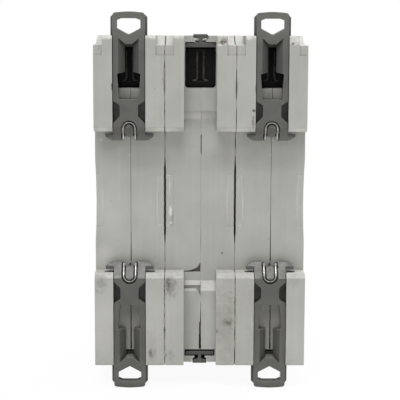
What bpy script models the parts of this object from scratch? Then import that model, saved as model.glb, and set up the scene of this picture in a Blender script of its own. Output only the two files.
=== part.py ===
"""A rail-mounted switching device of three poles, built as the pieces it comes apart into.

X runs across the poles, +Y points back towards the mounting rail and +Z is up.
The origin is the middle of the seat that rests on the front of a 35 mm rail.
"""

from math import asin, atan2, cos, hypot, pi, radians, sin, tan

import bmesh
import bpy
from mathutils import Matrix, Vector

MM = 0.001

# General fits
FIT = 0.3 * MM  # gap between two pieces that seat on each other
SLIDE_FIT = 0.13 * MM  # gap on each side of a rail clip
OVERCUT = 1.0 * MM  # how far a cutter runs past the face that it opens
ARC_STEPS = 3
ROUND_SIDES = 14
PEG_SIDES = 8

# Poles and case
POLE_COUNT = 3
POLE_PITCH = 17.8 * MM
POLE_GAP = 0.2 * MM
SEAM_GAP = 0.08 * MM  # between the two halves of one case
SEAM_X = -0.25 * MM  # off centre, so that the origin lies on the right half
BODY_HEIGHT = 83.6 * MM
RAIL_GAP = 35.9 * MM  # height of the recess that takes the rail
RIB_DEPTH = 5.5 * MM  # seat to the back faces of the ribs
SHOULDER_DEPTH = 43.5 * MM  # seat to the front of the terminal shoulders
NOSE_LENGTH = 6.5 * MM  # how far the nose stands in front of the shoulders
NOSE_HEIGHT = 45.0 * MM
NOSE_SLOPE = 1.5 * MM
SIDE_WALL = 1.6 * MM
REAR_WALL = 1.6 * MM
FRONT_WALL = 1.6 * MM
END_WALL = 1.7 * MM
RIB_CHAMFER = 1.15 * MM
EDGE_ROUND = 0.6 * MM
END_DRAFT = 1.1 * MM  # how far the ends draw in from the ribs to the front
FLANK_BOW = 0.3 * MM  # how far a flank is drawn in beside the rail recess
FLANK_BOW_HEIGHT = 21.0 * MM
FLANK_BOW_DEPTH = 9.0 * MM
FLANK_BOW_STEPS = 8

# Clip channel in the back of the case
CHANNEL_FLOOR = 2.0 * MM  # height of the channel floor above the seat
LEDGE_START = 20.7 * MM
LEDGE_END = 23.0 * MM
WINDOW_WIDTH = 7.75 * MM
WINDOW_START = 28.6 * MM
WINDOW_ROUND = 0.8 * MM
LOWER_SLOT_HEIGHT = 1.7 * MM
CORNER_POCKET_WIDTH = 4.3 * MM
CORNER_POCKET_HEIGHT = 2.3 * MM
CORNER_POCKET_FOOT = 18.5 * MM
CORNER_POCKET_LIP = 0.2 * MM  # height of the pocket's far end
CORNER_POCKET_DEPTH = 0.8 * MM
BLOCK_GAP = 0.8 * MM
BLOCK_ROUND_WIDTH = 1.9 * MM  # of the rounded corner beside the seam
BLOCK_ROUND_HEIGHT = 2.4 * MM
BLOCK_FLOOR = 0.6 * MM  # floor of the gap, above the seat
BLOCK_TOP = 21.8 * MM

# Notch for a comb busbar at the upper outer corners of the ribs
NOTCH_WIDTH = 2.2 * MM
NOTCH_HEIGHT = 2.4 * MM
NOTCH_DEPTH = 11.5 * MM
NOTCH_RUN = 8.0 * MM  # length of the slope from the notch's floor up to the top
NOTCH_WALL = 1.0 * MM
NOTCH_PAD_HEIGHT = 2.5 * MM
NOTCH_PAD_DEPTH = 0.35 * MM

# Rail clip, with its places measured from the origin, or from its outer end where they say so
CLIP_WIDTH = 7.95 * MM
CLIP_FACE = 5.2 * MM  # outer face, above the seat
CLIP_FLANGE = 0.6 * MM  # how far the flange stands out on each side
CLIP_FLANGE_THICKNESS = 0.9 * MM
CLIP_PROUD = 5.9 * MM  # how far the loop stands out of the case
CLIP_CROWN = 0.35 * MM
CLIP_CROWN_ROUND = 18.0 * MM
CLIP_CORNER = 0.7 * MM
FLANGE_CORNER = 1.05 * MM  # chamfer at the flange's outer end
CLIP_TIP = 15.45 * MM
CLIP_TRAVEL = 3.0 * MM
HOOK_WIDTH = 12.2 * MM
HOOK_LENGTH = 1.75 * MM
HOOK_UNDERSIDE = 1.3 * MM
HOOK_THICKNESS = 1.5 * MM
HOOK_LOBE = 8.4 * MM  # width of the straight part of the leading edge
HOOK_BOW = 1.15 * MM
HOOK_BOW_POWER = 1.5  # 1 for straight wings, more for rounder ones
HOOK_NOTCH_WIDTH = 3.0 * MM  # between the legs of the spring
HOOK_NOTCH_DEPTH = 1.1 * MM
RAMP_END = 19.2 * MM
RAMP_TIP = 2.0 * MM  # height of the ramp at the tip, above the seat
WAIST_WIDTH = 4.55 * MM
WAIST_START = 20.1 * MM
WAIST_LENGTH = 5.5 * MM
WAIST_LEAD = 1.65 * MM  # slant at the hook's side
WAIST_TAIL = 1.0 * MM
WAIST_ROUND = 0.6 * MM
WAIST_FLOOR = 3.1 * MM  # floor of the waist's pockets, above the seat
KEY_START = 26.0 * MM
KEY_STEP_INSET = 15.0 * MM  # from the outer end
KEY_SLANT = 0.4 * MM
KEY_END_INSET = 8.3 * MM
KEY_WIDE = 5.8 * MM
KEY_BASE = 4.9 * MM
KEY_NARROW = 2.1 * MM
FUNNEL_WIDTH = 5.2 * MM
FUNNEL_DEPTH = 1.9 * MM
FUNNEL_LEAD = 0.3 * MM  # slope of the funnel's end in the middle
FUNNEL_VEE = 1.5 * MM  # how far the end's corners lie past its middle
FUNNEL_FLAT = 0.85 * MM  # half width of the flat in the middle of the end
LOOP_WIDTH = 5.8 * MM
LOOP_APEX_INSET = 5.7 * MM
LOOP_SHOULDER_INSET = 4.15 * MM
LOOP_TOP_INSET = 1.75 * MM
LOOP_CHAMFER_WIDTH = 1.1 * MM
LOOP_CHAMFER_HEIGHT = 0.42 * MM

# Wire spring in the hook end of each clip
WIRE_RADIUS = 0.27 * MM
WIRE_SPAN = 3.0 * MM  # between the two legs
WIRE_TOP = 20.2 * MM
WIRE_REACH = 0.5 * MM  # how far the legs run past the notch
WIRE_ARC_STEPS = 8
GROOVE_WIDTH = 1.1 * MM
GROOVE_FLOOR = 1.9 * MM

# Arc vent behind the upper window
VENT_FACE = -0.9 * MM
VENT_HEADROOM = 1.7 * MM  # under the inside of the end wall
VENT_FLANGE = 0.9 * MM
VENT_FLANGE_THICKNESS = 1.0 * MM
VENT_GROOVE_WIDTH = 1.5 * MM
VENT_FOOT_WIDTH = 3.6 * MM
VENT_FOOT_RISE = 1.6 * MM  # above the foot of the window
VENT_FOOT_HEIGHT = 0.8 * MM
VENT_GROOVE_HEADROOM = 0.5 * MM
VENT_GROOVE_DEPTH = 0.7 * MM
VENT_ROUND = 0.7 * MM

# Screw terminals
TERMINAL_HEADROOM = 1.6 * MM  # between the cage and the end wall
TERMINAL_TRAVEL = 4.0 * MM
CAGE_LEAD = 2.5 * MM  # how far the cage's front lies before the conductor
CAGE_DEPTH = 15.0 * MM
CAGE_WIDTH = 10.8 * MM
CAGE_LENGTH = 10.0 * MM
CAGE_WALL = 1.1 * MM
SCREW_HEAD_RADIUS = 3.2 * MM
SCREW_RECESS = 0.9 * MM  # head below the front of the shoulder
SCREW_HEAD_HEIGHT = 3.2 * MM
SCREW_RADIUS = 2.4 * MM
SCREW_BITE = 1.7 * MM  # how far the screw stands into the cage
SCREW_SLOT_WIDTH = 1.0 * MM
SCREW_SLOT_DEPTH = 1.4 * MM
WIRE_ENTRY_WIDTH = 9.2 * MM
WIRE_ENTRY_ROUND = 1.5 * MM
SHELF_CLEARANCE = 0.7 * MM  # between the cage and the floor of its chamber
SHELF_THICKNESS = 1.2 * MM
SHELF_OVERHANG = 1.0 * MM  # how far the floor runs past the cage

# Shutter that follows each cage and closes the space behind it
SHUTTER_THICKNESS = 0.95 * MM
SHUTTER_SUNK = 0.1 * MM  # below the floor of the clip channel
SHUTTER_LUG = 5.0 * MM
TAB_LENGTH = 7.0 * MM
TAB_STEM = 0.8 * MM
TAB_WIDTH = 3.7 * MM
TAB_HEIGHT = 0.9 * MM
TAB_PROUD = 0.2 * MM
TAB_ROUND = 0.3 * MM
TAB_FLARE = 0.2 * MM  # how much thicker the tab's head is at its stem
TAB_FIT = 0.12 * MM
TAB_SLOT_ROOT = 1.3 * MM  # half width of the slot at the inside of the wall
TAB_RAMP = 2.5 * MM  # length of the slope at the slot's front end

# Handle
HANDLE_INSET = 6.0 * MM  # axis behind the front of the nose
DRUM_RADIUS = 9.5 * MM
DRUM_SIDES = 28
LEVER_LENGTH = 21.5 * MM
LEVER_WIDTH = 6.8 * MM
LEVER_ROOT = 5.6 * MM
LEVER_TIP = 3.8 * MM
TRUNNION_RADIUS = 2.0 * MM
HANDLE_REST = radians(35)  # below the level position, switched off
TIE_RADIUS = 1.3 * MM
TIE_HEAD_RADIUS = 1.9 * MM
TIE_REACH = 17.5 * MM
BOSS_HEIGHT = 1.9 * MM
BOSS_WALL = 1.1 * MM

# Contacts
ARM_SETBACK = 13.0 * MM  # pivot behind the handle's axis
ARM_Z = -4.0 * MM
ARM_REACH = 20.5 * MM
ARM_WIDTH = 3.2 * MM
ARM_HEEL = 2.08 * MM  # how far the arm runs past its pivot
ARM_THICKNESS = 2.0 * MM
ARM_PIN_RADIUS = 1.2 * MM
ARM_OPENING = radians(16)
CONTACT_GAP = 0.3 * MM  # left between the closed contacts
TIP_THICKNESS = 1.2 * MM
TIP_HEIGHT = 4.0 * MM
TIP_WIDTH = 3.6 * MM
STRIP_SETBACK = 4.5 * MM  # conductor behind the arm's pivot
STRIP_THICKNESS = 1.2 * MM
STRIP_WIDTH = 6.0 * MM
TONGUE_WIDTH = 8.0 * MM
EAR_HEIGHT = 3.0 * MM
EAR_DROP = 6.8 * MM  # from the floor of the terminal chamber to a conductor's ears

# Arc chute
CHUTE_BOTTOM = 3.5 * MM
CHUTE_HEADROOM = 0.6 * MM
CHUTE_SETBACK = 4.0 * MM  # behind the front of the conductor
CHUTE_VENT_GAP = 1.1 * MM
CHUTE_PLATES = 6
CHUTE_PLATE_THICKNESS = 1.0 * MM
CHUTE_CARD = 1.0 * MM
CHUTE_NOTCH = 6.0 * MM

# Magnetic and thermal trip
COIL_SETBACK = 9.5 * MM  # middle of the coil behind the front of the conductor
COIL_Z = -9.5 * MM
COIL_TURNS = 4
COIL_WIRE_RADIUS = 0.9 * MM
COIL_TURN_GAP = 0.9 * MM
COIL_POINTS_PER_TURN = 9
PLUNGER_GAP = 0.4 * MM
PLUNGER_LEAD = 3.0 * MM  # front of the slug before the middle of the coil
PLUNGER_LENGTH = 9.0 * MM
PLUNGER_ROD_RADIUS = 1.3 * MM
PLUNGER_STROKE_GAP = 3.7 * MM  # between the rod and the finger that it strikes
BIMETAL_SETBACK = 4.0 * MM  # behind the trip bar's axis
BIMETAL_TOP = -11.5 * MM
BIMETAL_THICKNESS = 0.9 * MM
BIMETAL_WIDTH = 4.6 * MM
TRIP_BAR_SETBACK = 10.2 * MM  # behind the handle's axis
TRIP_BAR_Z = -15.5 * MM
TRIP_BAR_RADIUS = 1.9 * MM
TRIP_FINGER_TOP = -7.4 * MM
TRIP_FINGER_THICKNESS = 1.4 * MM
TRIP_FINGER_WIDTH = 5.0 * MM

# Rivets through all the poles
RIVET_RADIUS = 1.3 * MM
RIVET_HEAD_RADIUS = 2.4 * MM
RIVET_HEAD_HEIGHT = 0.9 * MM
RIVET_SUNK = 0.1 * MM  # heads below the flank
RIVET_SIDES = 12
RIVET_SETBACK = 6.0 * MM  # upper rivet, behind the front of the shoulders
RIVET_DROP = 3.8 * MM  # upper rivet, from the floor of the terminal chamber
LOWER_RIVET_DROP = 0.8 * MM
LOWER_RIVET_DEPTH = 6.0 * MM  # in front of the seat

# Values that follow from those above
HALF_HEIGHT = BODY_HEIGHT / 2
HALF_RAIL = RAIL_GAP / 2
HALF_NOSE = NOSE_HEIGHT / 2
HALF_POLE = (POLE_PITCH - POLE_GAP) / 2
INNER_HALF = HALF_POLE - SIDE_WALL
SEATED_HALF = INNER_HALF - FIT  # half width of an inner piece held by both side walls
END_INSIDE = HALF_HEIGHT - END_WALL
NOSE_DEPTH = SHOULDER_DEPTH + NOSE_LENGTH
LOWER_SLOT_START = END_INSIDE - LOWER_SLOT_HEIGHT
WINDOW_HALF = WINDOW_WIDTH / 2
NOTCH_FLOOR = HALF_HEIGHT - NOTCH_HEIGHT
NOTCH_BACK = RIB_DEPTH - NOTCH_DEPTH
SHUTTER_HALF = WINDOW_HALF - FIT
SHUTTER_REAR = CHANNEL_FLOOR - SHUTTER_SUNK
CLIP_END = HALF_HEIGHT + CLIP_PROUD
KEY_STEP = CLIP_END - KEY_STEP_INSET
KEY_END = CLIP_END - KEY_END_INSET
LOOP_APEX = CLIP_END - LOOP_APEX_INSET
LOOP_SHOULDER = CLIP_END - LOOP_SHOULDER_INSET
LOOP_TOP = CLIP_END - LOOP_TOP_INSET
FUNNEL_SLOPE = FUNNEL_VEE / (FUNNEL_WIDTH / 2 - FUNNEL_FLAT)
TAB_TOP = HALF_HEIGHT + TAB_PROUD
TAB_LOW = TAB_TOP - TAB_HEIGHT
HOOK_NOTCH_END = CLIP_TIP + HOOK_NOTCH_DEPTH
VENT_TOP = END_INSIDE - VENT_HEADROOM
VENT_FOOT = WINDOW_START + VENT_FOOT_RISE
VENT_GROOVE_TOP = VENT_TOP - VENT_GROOVE_HEADROOM
VENT_FLANGE_REAR = -REAR_WALL - FIT
VENT_FLANGE_FRONT = VENT_FLANGE_REAR - VENT_FLANGE_THICKNESS
HANDLE_Y = HANDLE_INSET - NOSE_DEPTH
ARM_Y = HANDLE_Y + ARM_SETBACK
STRIP_FRONT = ARM_Y + STRIP_SETBACK
CAGE_FRONT = STRIP_FRONT - CAGE_LEAD
CAGE_REAR = CAGE_FRONT + CAGE_DEPTH
SCREW_HEAD_FACE = SCREW_RECESS - SHOULDER_DEPTH
SCREW_TIP = CAGE_FRONT + SCREW_BITE
TERMINAL_Z = END_INSIDE - TERMINAL_HEADROOM - CAGE_LENGTH / 2
SHELF_TOP = TERMINAL_Z - CAGE_LENGTH / 2 - SHELF_CLEARANCE
SHELF_REAR = CAGE_REAR + SHELF_OVERHANG
FIXED_EAR_Z = SHELF_TOP - EAR_DROP
CHUTE_TOP = SHELF_TOP - SHELF_THICKNESS - CHUTE_HEADROOM
CHUTE_FRONT = STRIP_FRONT + CHUTE_SETBACK
CHUTE_REAR = VENT_FLANGE_FRONT - CHUTE_VENT_GAP
COIL_Y = STRIP_FRONT + COIL_SETBACK
PLUNGER_FRONT = COIL_Y - PLUNGER_LEAD
TRIP_BAR_Y = HANDLE_Y + TRIP_BAR_SETBACK
PLUNGER_ROD_TIP = TRIP_BAR_Y + TRIP_FINGER_THICKNESS / 2 + PLUNGER_STROKE_GAP
BIMETAL_JOG_Z = EAR_DROP - SHELF_TOP
BIMETAL_Y = TRIP_BAR_Y + BIMETAL_SETBACK
RIVET_PLACES = {
    "upper": (RIVET_SETBACK - SHOULDER_DEPTH, SHELF_TOP - RIVET_DROP),
    "lower": (-LOWER_RIVET_DEPTH, LOWER_RIVET_DROP - SHELF_TOP),
}
CLIP_HALF = CLIP_WIDTH / 2
CHANNEL_HALF = CLIP_HALF + SLIDE_FIT
FLANGE_BOTTOM = CHANNEL_FLOOR + FIT
FLANGE_TOP = FLANGE_BOTTOM + CLIP_FLANGE_THICKNESS
SHUTTER_REACH = TERMINAL_TRAVEL + SHUTTER_THICKNESS + FIT
POLE_NUMBERS = range(1, POLE_COUNT + 1)
CLIP_POLES = (1, POLE_COUNT)
ENDS = {"top": 0.0, "bottom": pi}  # the lower copies are turned half round about Y

AXES = {
    "X": Matrix(((0, 0, 1), (1, 0, 0), (0, 1, 0))).to_4x4(),
    "Y": Matrix(((1, 0, 0), (0, 0, -1), (0, 1, 0))).to_4x4(),
    "Z": Matrix.Identity(4),
}


# Scene and materials

for leftover in list(bpy.data.objects):
    bpy.data.objects.remove(leftover)

PARTS = bpy.data.collections.new("din_rail_breaker")
bpy.context.scene.collection.children.link(PARTS)


def material(name, colour, roughness, metallic=0.0):
    made = bpy.data.materials.new(name)
    made.use_nodes = True
    shader = made.node_tree.nodes["Principled BSDF"]
    shader.inputs["Base Color"].default_value = (*colour, 1.0)
    shader.inputs["Roughness"].default_value = roughness
    shader.inputs["Metallic"].default_value = metallic
    return made


CASE_PLASTIC = material("case_plastic", (0.42, 0.42, 0.40), 0.55)
CLIP_PLASTIC = material("clip_plastic", (0.13, 0.13, 0.125), 0.5)
VENT_PLASTIC = material("vent_plastic", (0.012, 0.012, 0.013), 0.45)
HANDLE_PLASTIC = material("handle_plastic", (0.05, 0.05, 0.055), 0.4)
SPRING_STEEL = material("spring_steel", (0.62, 0.61, 0.58), 0.25, 1.0)
ZINC_STEEL = material("zinc_steel", (0.55, 0.55, 0.56), 0.35, 1.0)
COPPER = material("copper", (0.72, 0.35, 0.20), 0.35, 1.0)
BIMETAL = material("bimetal", (0.60, 0.55, 0.46), 0.35, 1.0)
TRIP_PLASTIC = material("trip_plastic", (0.30, 0.05, 0.04), 0.5)


# Shapes

def rounded_outline(corners):
    """Points of a closed outline whose corners, each (a, b, radius), are rounded by arcs."""
    points = []
    for index, (a, b, radius) in enumerate(corners):
        corner = Vector((a, b))
        if not radius:
            points.append(corner)
            continue
        back = (Vector(corners[index - 1][:2]) - corner).normalized()
        ahead = (Vector(corners[(index + 1) % len(corners)][:2]) - corner).normalized()
        half = back.angle(ahead) / 2
        centre = corner + (back + ahead).normalized() * radius / sin(half)
        start = corner + back * radius / tan(half) - centre
        end = corner + ahead * radius / tan(half) - centre
        sweep = pi - 2 * half
        for step in range(ARC_STEPS + 1):
            share = step / ARC_STEPS
            turned = start * sin((1 - share) * sweep) + end * sin(share * sweep)
            points.append(centre + turned / sin(sweep))
    return points


def mirrored_outline(half):
    """A closed outline from the corners of its upper half, given from back to front."""
    return half + [(a, -b, radius) for a, b, radius in reversed(half)]


def rectangle(low, high, radius=0.0):
    (a, b), (c, d) = low, high
    return rounded_outline([(a, b, radius), (c, b, radius), (c, d, radius), (a, d, radius)])


def tidy_mesh(mesh):
    """Welds the mesh, joins its flat faces and turns them outward."""
    work = bmesh.new()
    work.from_mesh(mesh)
    bmesh.ops.remove_doubles(work, verts=work.verts, dist=1e-7)
    bmesh.ops.dissolve_limit(work, angle_limit=radians(0.2), verts=work.verts, edges=work.edges)
    bmesh.ops.recalc_face_normals(work, faces=work.faces)
    work.to_mesh(mesh)
    work.free()


def evaluated_mesh(obj):
    bpy.context.view_layer.update()
    graph = bpy.context.evaluated_depsgraph_get()
    return bpy.data.meshes.new_from_object(obj.evaluated_get(graph))


def mesh_object(mesh):
    obj = bpy.data.objects.new(mesh.name, mesh)
    PARTS.objects.link(obj)
    return obj


def prism(outlines, along, low, high):
    """Flat outlines, inner ones as holes, made thick from low to high along one axis."""
    curve = bpy.data.curves.new("outline", "CURVE")
    curve.dimensions = "2D"
    curve.fill_mode = "BOTH"
    curve.extrude = (high - low) / 2
    for points in outlines:
        spline = curve.splines.new("POLY")
        spline.points.add(len(points) - 1)
        for point, (a, b) in zip(spline.points, points):
            point.co = (a, b, 0, 1)
        spline.use_cyclic_u = True
    obj = bpy.data.objects.new("outline", curve)
    PARTS.objects.link(obj)
    middle = Vector([(low + high) / 2 if axis == along else 0.0 for axis in "XYZ"])
    mesh = evaluated_mesh(obj)
    mesh.transform(Matrix.Translation(middle) @ AXES[along])
    bpy.data.objects.remove(obj)
    tidy_mesh(mesh)
    return mesh_object(mesh)


def box(low, high):
    """A box between two opposite corners, given in any order."""
    low, high = Vector(low), Vector(high)
    work = bmesh.new()
    size = Matrix.Diagonal([abs(side) for side in high - low]).to_4x4()
    bmesh.ops.create_cube(work, size=1, matrix=Matrix.Translation((low + high) / 2) @ size)
    mesh = bpy.data.meshes.new("box")
    work.to_mesh(mesh)
    work.free()
    return mesh_object(mesh)


def rod(along, low, high, centre, radius, sides=ROUND_SIDES, far_radius=None):
    """A round bar from low to high along one axis. Centre gives its other two coordinates."""
    work = bmesh.new()
    place = list(centre)
    place.insert("XYZ".index(along), (low + high) / 2)
    bmesh.ops.create_cone(
        work,
        cap_ends=True,
        segments=sides,
        radius1=radius,
        radius2=radius if far_radius is None else far_radius,
        depth=high - low,
        matrix=Matrix.Translation(place) @ AXES[along],
    )
    mesh = bpy.data.meshes.new("rod")
    work.to_mesh(mesh)
    work.free()
    return mesh_object(mesh)


def taper(low, high, low_outline, high_outline):
    """A block whose outline in x and z at y low changes evenly to another at y high."""
    count = len(low_outline)
    corners = [(x, low, z) for x, z in low_outline] + [(x, high, z) for x, z in high_outline]
    faces = [list(range(count)), list(range(count, 2 * count))]
    for index in range(count):
        ahead = (index + 1) % count
        faces.append([index, ahead, ahead + count, index + count])
    mesh = bpy.data.meshes.new("taper")
    mesh.from_pydata(corners, [], faces)
    tidy_mesh(mesh)
    return mesh_object(mesh)


def combine(obj, tools, operation):
    """Joins the tools to the object or cuts them from it, and removes them."""
    for tool in tools:
        modifier = obj.modifiers.new(operation.lower(), "BOOLEAN")
        modifier.operation = operation
        modifier.object = tool
    mesh = evaluated_mesh(obj)
    obj.modifiers.clear()
    obj.data = mesh
    for tool in tools:
        bpy.data.objects.remove(tool)
    return obj


def cut(obj, *tools):
    return combine(obj, tools, "DIFFERENCE")


def fuse(obj, *tools):
    return combine(obj, tools, "UNION")


def template(obj, finish):
    """Takes a finished shape out of the scene as a mesh, with its material and smooth rounds."""
    mesh = obj.data
    bpy.data.objects.remove(obj)
    tidy_mesh(mesh)
    mesh.materials.clear()
    mesh.materials.append(finish)
    mesh.shade_smooth()
    mesh.set_sharp_from_angle(angle=radians(35))
    return mesh


def node(name, mesh, place=(0, 0, 0), turn=(0, 0, 0)):
    obj = bpy.data.objects.new(name, mesh)
    obj.location = place
    obj.rotation_euler = turn
    PARTS.objects.link(obj)
    return obj


def pole_x(number):
    return (number - (POLE_COUNT + 1) / 2) * POLE_PITCH


# Case halves

def case_outline():
    return rounded_outline(mirrored_outline([
        (0, HALF_RAIL, 0),
        (RIB_DEPTH - RIB_CHAMFER, HALF_RAIL, 0),
        (RIB_DEPTH, HALF_RAIL + RIB_CHAMFER, 0),
        (RIB_DEPTH, HALF_HEIGHT, EDGE_ROUND),
        (-SHOULDER_DEPTH, HALF_HEIGHT - END_DRAFT, 2 * EDGE_ROUND),
        (-SHOULDER_DEPTH, HALF_NOSE + NOSE_SLOPE, 0),
        (-NOSE_DEPTH, HALF_NOSE, EDGE_ROUND),
    ]))


def cavity_outline():
    return rounded_outline(mirrored_outline([
        (-REAR_WALL, END_INSIDE, 0),
        (CAGE_REAR - SHUTTER_REACH, END_INSIDE, 0),
        (FRONT_WALL - SHOULDER_DEPTH, END_INSIDE - END_DRAFT / 2, 0),
        (FRONT_WALL - SHOULDER_DEPTH, HALF_NOSE - FRONT_WALL, 0),
        (FRONT_WALL - NOSE_DEPTH, HALF_NOSE - FRONT_WALL, 0),
    ]))


def channel_cutters(upward, clipped):
    """What opens one clip channel: its ledge, its T-shaped slot and, with a clip, the hook's pockets."""
    back = RIB_DEPTH + OVERCUT
    slope = (LEDGE_END - LEDGE_START) / CHANNEL_FLOOR
    lead = OVERCUT / 2
    ledge = [
        (lead, HALF_RAIL - OVERCUT),
        (0, HALF_RAIL),
        (0, LEDGE_START),
        (back, LEDGE_START + slope * back),
        (back, HALF_RAIL - OVERCUT),
    ]
    groove_half = CHANNEL_HALF + CLIP_FLANGE
    groove_top = FLANGE_TOP + FIT
    half_section = [
        (CHANNEL_HALF, back, 0),
        (CHANNEL_HALF, groove_top, 0),
        (groove_half, groove_top, 0),
        (groove_half, CHANNEL_FLOOR, 0),
    ]
    section = half_section + [(-a, b, radius) for a, b, radius in reversed(half_section)]
    slot_low, slot_high = sorted((upward * (LEDGE_END - lead), upward * (HALF_HEIGHT + OVERCUT)))
    tools = [
        prism([[(y, upward * z) for y, z in ledge]], "X", -CHANNEL_HALF, CHANNEL_HALF),
        prism([rounded_outline(section)], "Z", slot_low, slot_high),
    ]
    if clipped:
        pocket_half = HOOK_WIDTH / 2 + FIT
        pocket_end = CLIP_TIP + HOOK_LENGTH + CLIP_TRAVEL + FIT
        tools.append(box((-pocket_half, HOOK_UNDERSIDE - FIT, upward * (HALF_RAIL - OVERCUT)),
                         (pocket_half, HOOK_UNDERSIDE + HOOK_THICKNESS + FIT, upward * pocket_end)))
    return tools


def end_cutters(upward):
    """The wire entry, the slot for the shutter's tab and the screw hole of one terminal."""
    inside, outside = END_INSIDE - OVERCUT, HALF_HEIGHT + OVERCUT
    low, high = sorted((upward * inside, upward * outside))
    entry_half = WIRE_ENTRY_WIDTH / 2
    entry_rear = CAGE_REAR - CAGE_WALL
    entry_front = STRIP_FRONT + STRIP_THICKNESS - OVERCUT
    entry = rectangle((-entry_half, entry_front), (entry_half, entry_rear), WIRE_ENTRY_ROUND)
    tab_half = TAB_WIDTH / 2 + TAB_FIT
    tab_front = SHUTTER_REAR - TAB_LENGTH - TERMINAL_TRAVEL - FIT
    ramp_foot = END_INSIDE + FIT
    slot = [
        (TAB_SLOT_ROOT, inside),
        (TAB_SLOT_ROOT, ramp_foot),
        (tab_half, TAB_LOW - TAB_FIT),
        (tab_half, outside),
    ]
    slot += [(-x, z) for x, z in reversed(slot)]
    lean = (TAB_RAMP + FIT) / (HALF_HEIGHT - ramp_foot)
    ramp = [
        (tab_front + FIT, ramp_foot),
        (tab_front + FIT - lean * (outside - ramp_foot), outside),
        (tab_front + FIT, outside),
    ]
    return [
        prism([entry], "Z", low, high),
        prism([[(x, upward * z) for x, z in slot]], "Y", tab_front, CHANNEL_FLOOR + OVERCUT / 2),
        prism([[(y, upward * z) for y, z in ramp]], "X", -TAB_WIDTH / 2, TAB_WIDTH / 2),
        rod("Y", -SHOULDER_DEPTH - OVERCUT, FRONT_WALL + OVERCUT - SHOULDER_DEPTH,
            (0, upward * TERMINAL_Z), SCREW_HEAD_RADIUS + FIT),
    ]


def flank_cutters(side):
    """The drawn-in flank, the rivet and trip bar holes and the busbar notch of one half."""
    outer = side * HALF_POLE
    bow = []
    for step in range(FLANK_BOW_STEPS + 1):
        share = 2 * step / FLANK_BOW_STEPS - 1
        bow.append((outer - side * FLANK_BOW * (1 - share * share), share * FLANK_BOW_HEIGHT / 2))
    bow += [(outer + side * OVERCUT, FLANK_BOW_HEIGHT / 2), (outer + side * OVERCUT, -FLANK_BOW_HEIGHT / 2)]
    tools = [prism([bow], "Y", -FLANK_BOW_DEPTH, OVERCUT)]
    wall = sorted((side * (INNER_HALF - OVERCUT), side * (HALF_POLE + OVERCUT)))
    sink = sorted((side * (HALF_POLE - RIVET_SUNK - RIVET_HEAD_HEIGHT - FIT), side * (HALF_POLE + OVERCUT)))
    for place in RIVET_PLACES.values():
        tools.append(rod("X", *wall, place, RIVET_RADIUS + FIT, PEG_SIDES))
        tools.append(rod("X", *sink, place, RIVET_HEAD_RADIUS + FIT, RIVET_SIDES))
    tools.append(rod("X", *wall, (TRIP_BAR_Y, TRIP_BAR_Z), TRIP_BAR_RADIUS + FIT, RIVET_SIDES))
    notch_x = outer - side * NOTCH_WIDTH
    notch = [
        (RIB_DEPTH + OVERCUT, NOTCH_FLOOR),
        (NOTCH_BACK, NOTCH_FLOOR),
        (NOTCH_BACK - NOTCH_RUN * (1 + OVERCUT / NOTCH_HEIGHT), HALF_HEIGHT + OVERCUT),
        (RIB_DEPTH + OVERCUT, HALF_HEIGHT + OVERCUT),
    ]
    tools.append(prism([notch], "X", *sorted((notch_x, outer + side * OVERCUT))))
    tools.append(box((notch_x, RIB_DEPTH - NOTCH_PAD_DEPTH, NOTCH_FLOOR - NOTCH_PAD_HEIGHT),
                     (outer + side * OVERCUT, RIB_DEPTH + OVERCUT, NOTCH_FLOOR + OVERCUT)))
    return tools


def notch_backing(side):
    """The thicker corner inside the case that keeps a wall under the busbar notch."""
    return box((side * (HALF_POLE - NOTCH_WIDTH - NOTCH_WALL), -REAR_WALL / 2, NOTCH_FLOOR - NOTCH_WALL),
               (side * (INNER_HALF + SIDE_WALL / 2), NOTCH_BACK - NOTCH_RUN / 2, END_INSIDE + END_WALL / 8))


def rear_cutters():
    """The vent window above the rail recess and the shutter's slot below it."""
    through = -REAR_WALL - OVERCUT, CHANNEL_FLOOR + OVERCUT / 2
    window = rounded_outline([
        (-WINDOW_HALF, WINDOW_START, WINDOW_ROUND), (WINDOW_HALF, WINDOW_START, WINDOW_ROUND),
        (WINDOW_HALF, END_INSIDE, 0), (-WINDOW_HALF, END_INSIDE, 0),
    ])
    return [
        prism([window], "Y", *through),
        box((-WINDOW_HALF, through[0], -LOWER_SLOT_START), (WINDOW_HALF, through[1], -END_INSIDE)),
    ]


def corner_cutters():
    """The rounded pocket and the split block in the foot of the channel, on the right half only."""
    lip = CORNER_POCKET_LIP - CORNER_POCKET_FOOT
    rise = CORNER_POCKET_HEIGHT - CORNER_POCKET_LIP
    pocket = [(-OVERCUT, -CORNER_POCKET_FOOT), (CORNER_POCKET_WIDTH, -CORNER_POCKET_FOOT)]
    for step in range(2 * ARC_STEPS + 1):
        angle = step * pi / 4 / ARC_STEPS
        pocket.append((CORNER_POCKET_WIDTH * (1 - sin(angle)), lip + rise * (1 - cos(angle))))
    pocket.append((-OVERCUT, lip + rise))
    low, high = -BLOCK_TOP - BLOCK_GAP, -BLOCK_TOP
    gap = [(-OVERCUT, low - BLOCK_ROUND_HEIGHT), (-OVERCUT, high), (CHANNEL_HALF, high), (CHANNEL_HALF, low)]
    for step in range(2 * ARC_STEPS + 1):
        angle = step * pi / 4 / ARC_STEPS
        gap.append((SEAM_X + BLOCK_ROUND_WIDTH * (1 - sin(angle)),
                    low - BLOCK_ROUND_HEIGHT * (1 - cos(angle))))
    return [
        prism([pocket], "Y", -CORNER_POCKET_DEPTH, OVERCUT),
        prism([gap], "Y", BLOCK_FLOOR, CHANNEL_FLOOR + OVERCUT),
    ]


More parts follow.
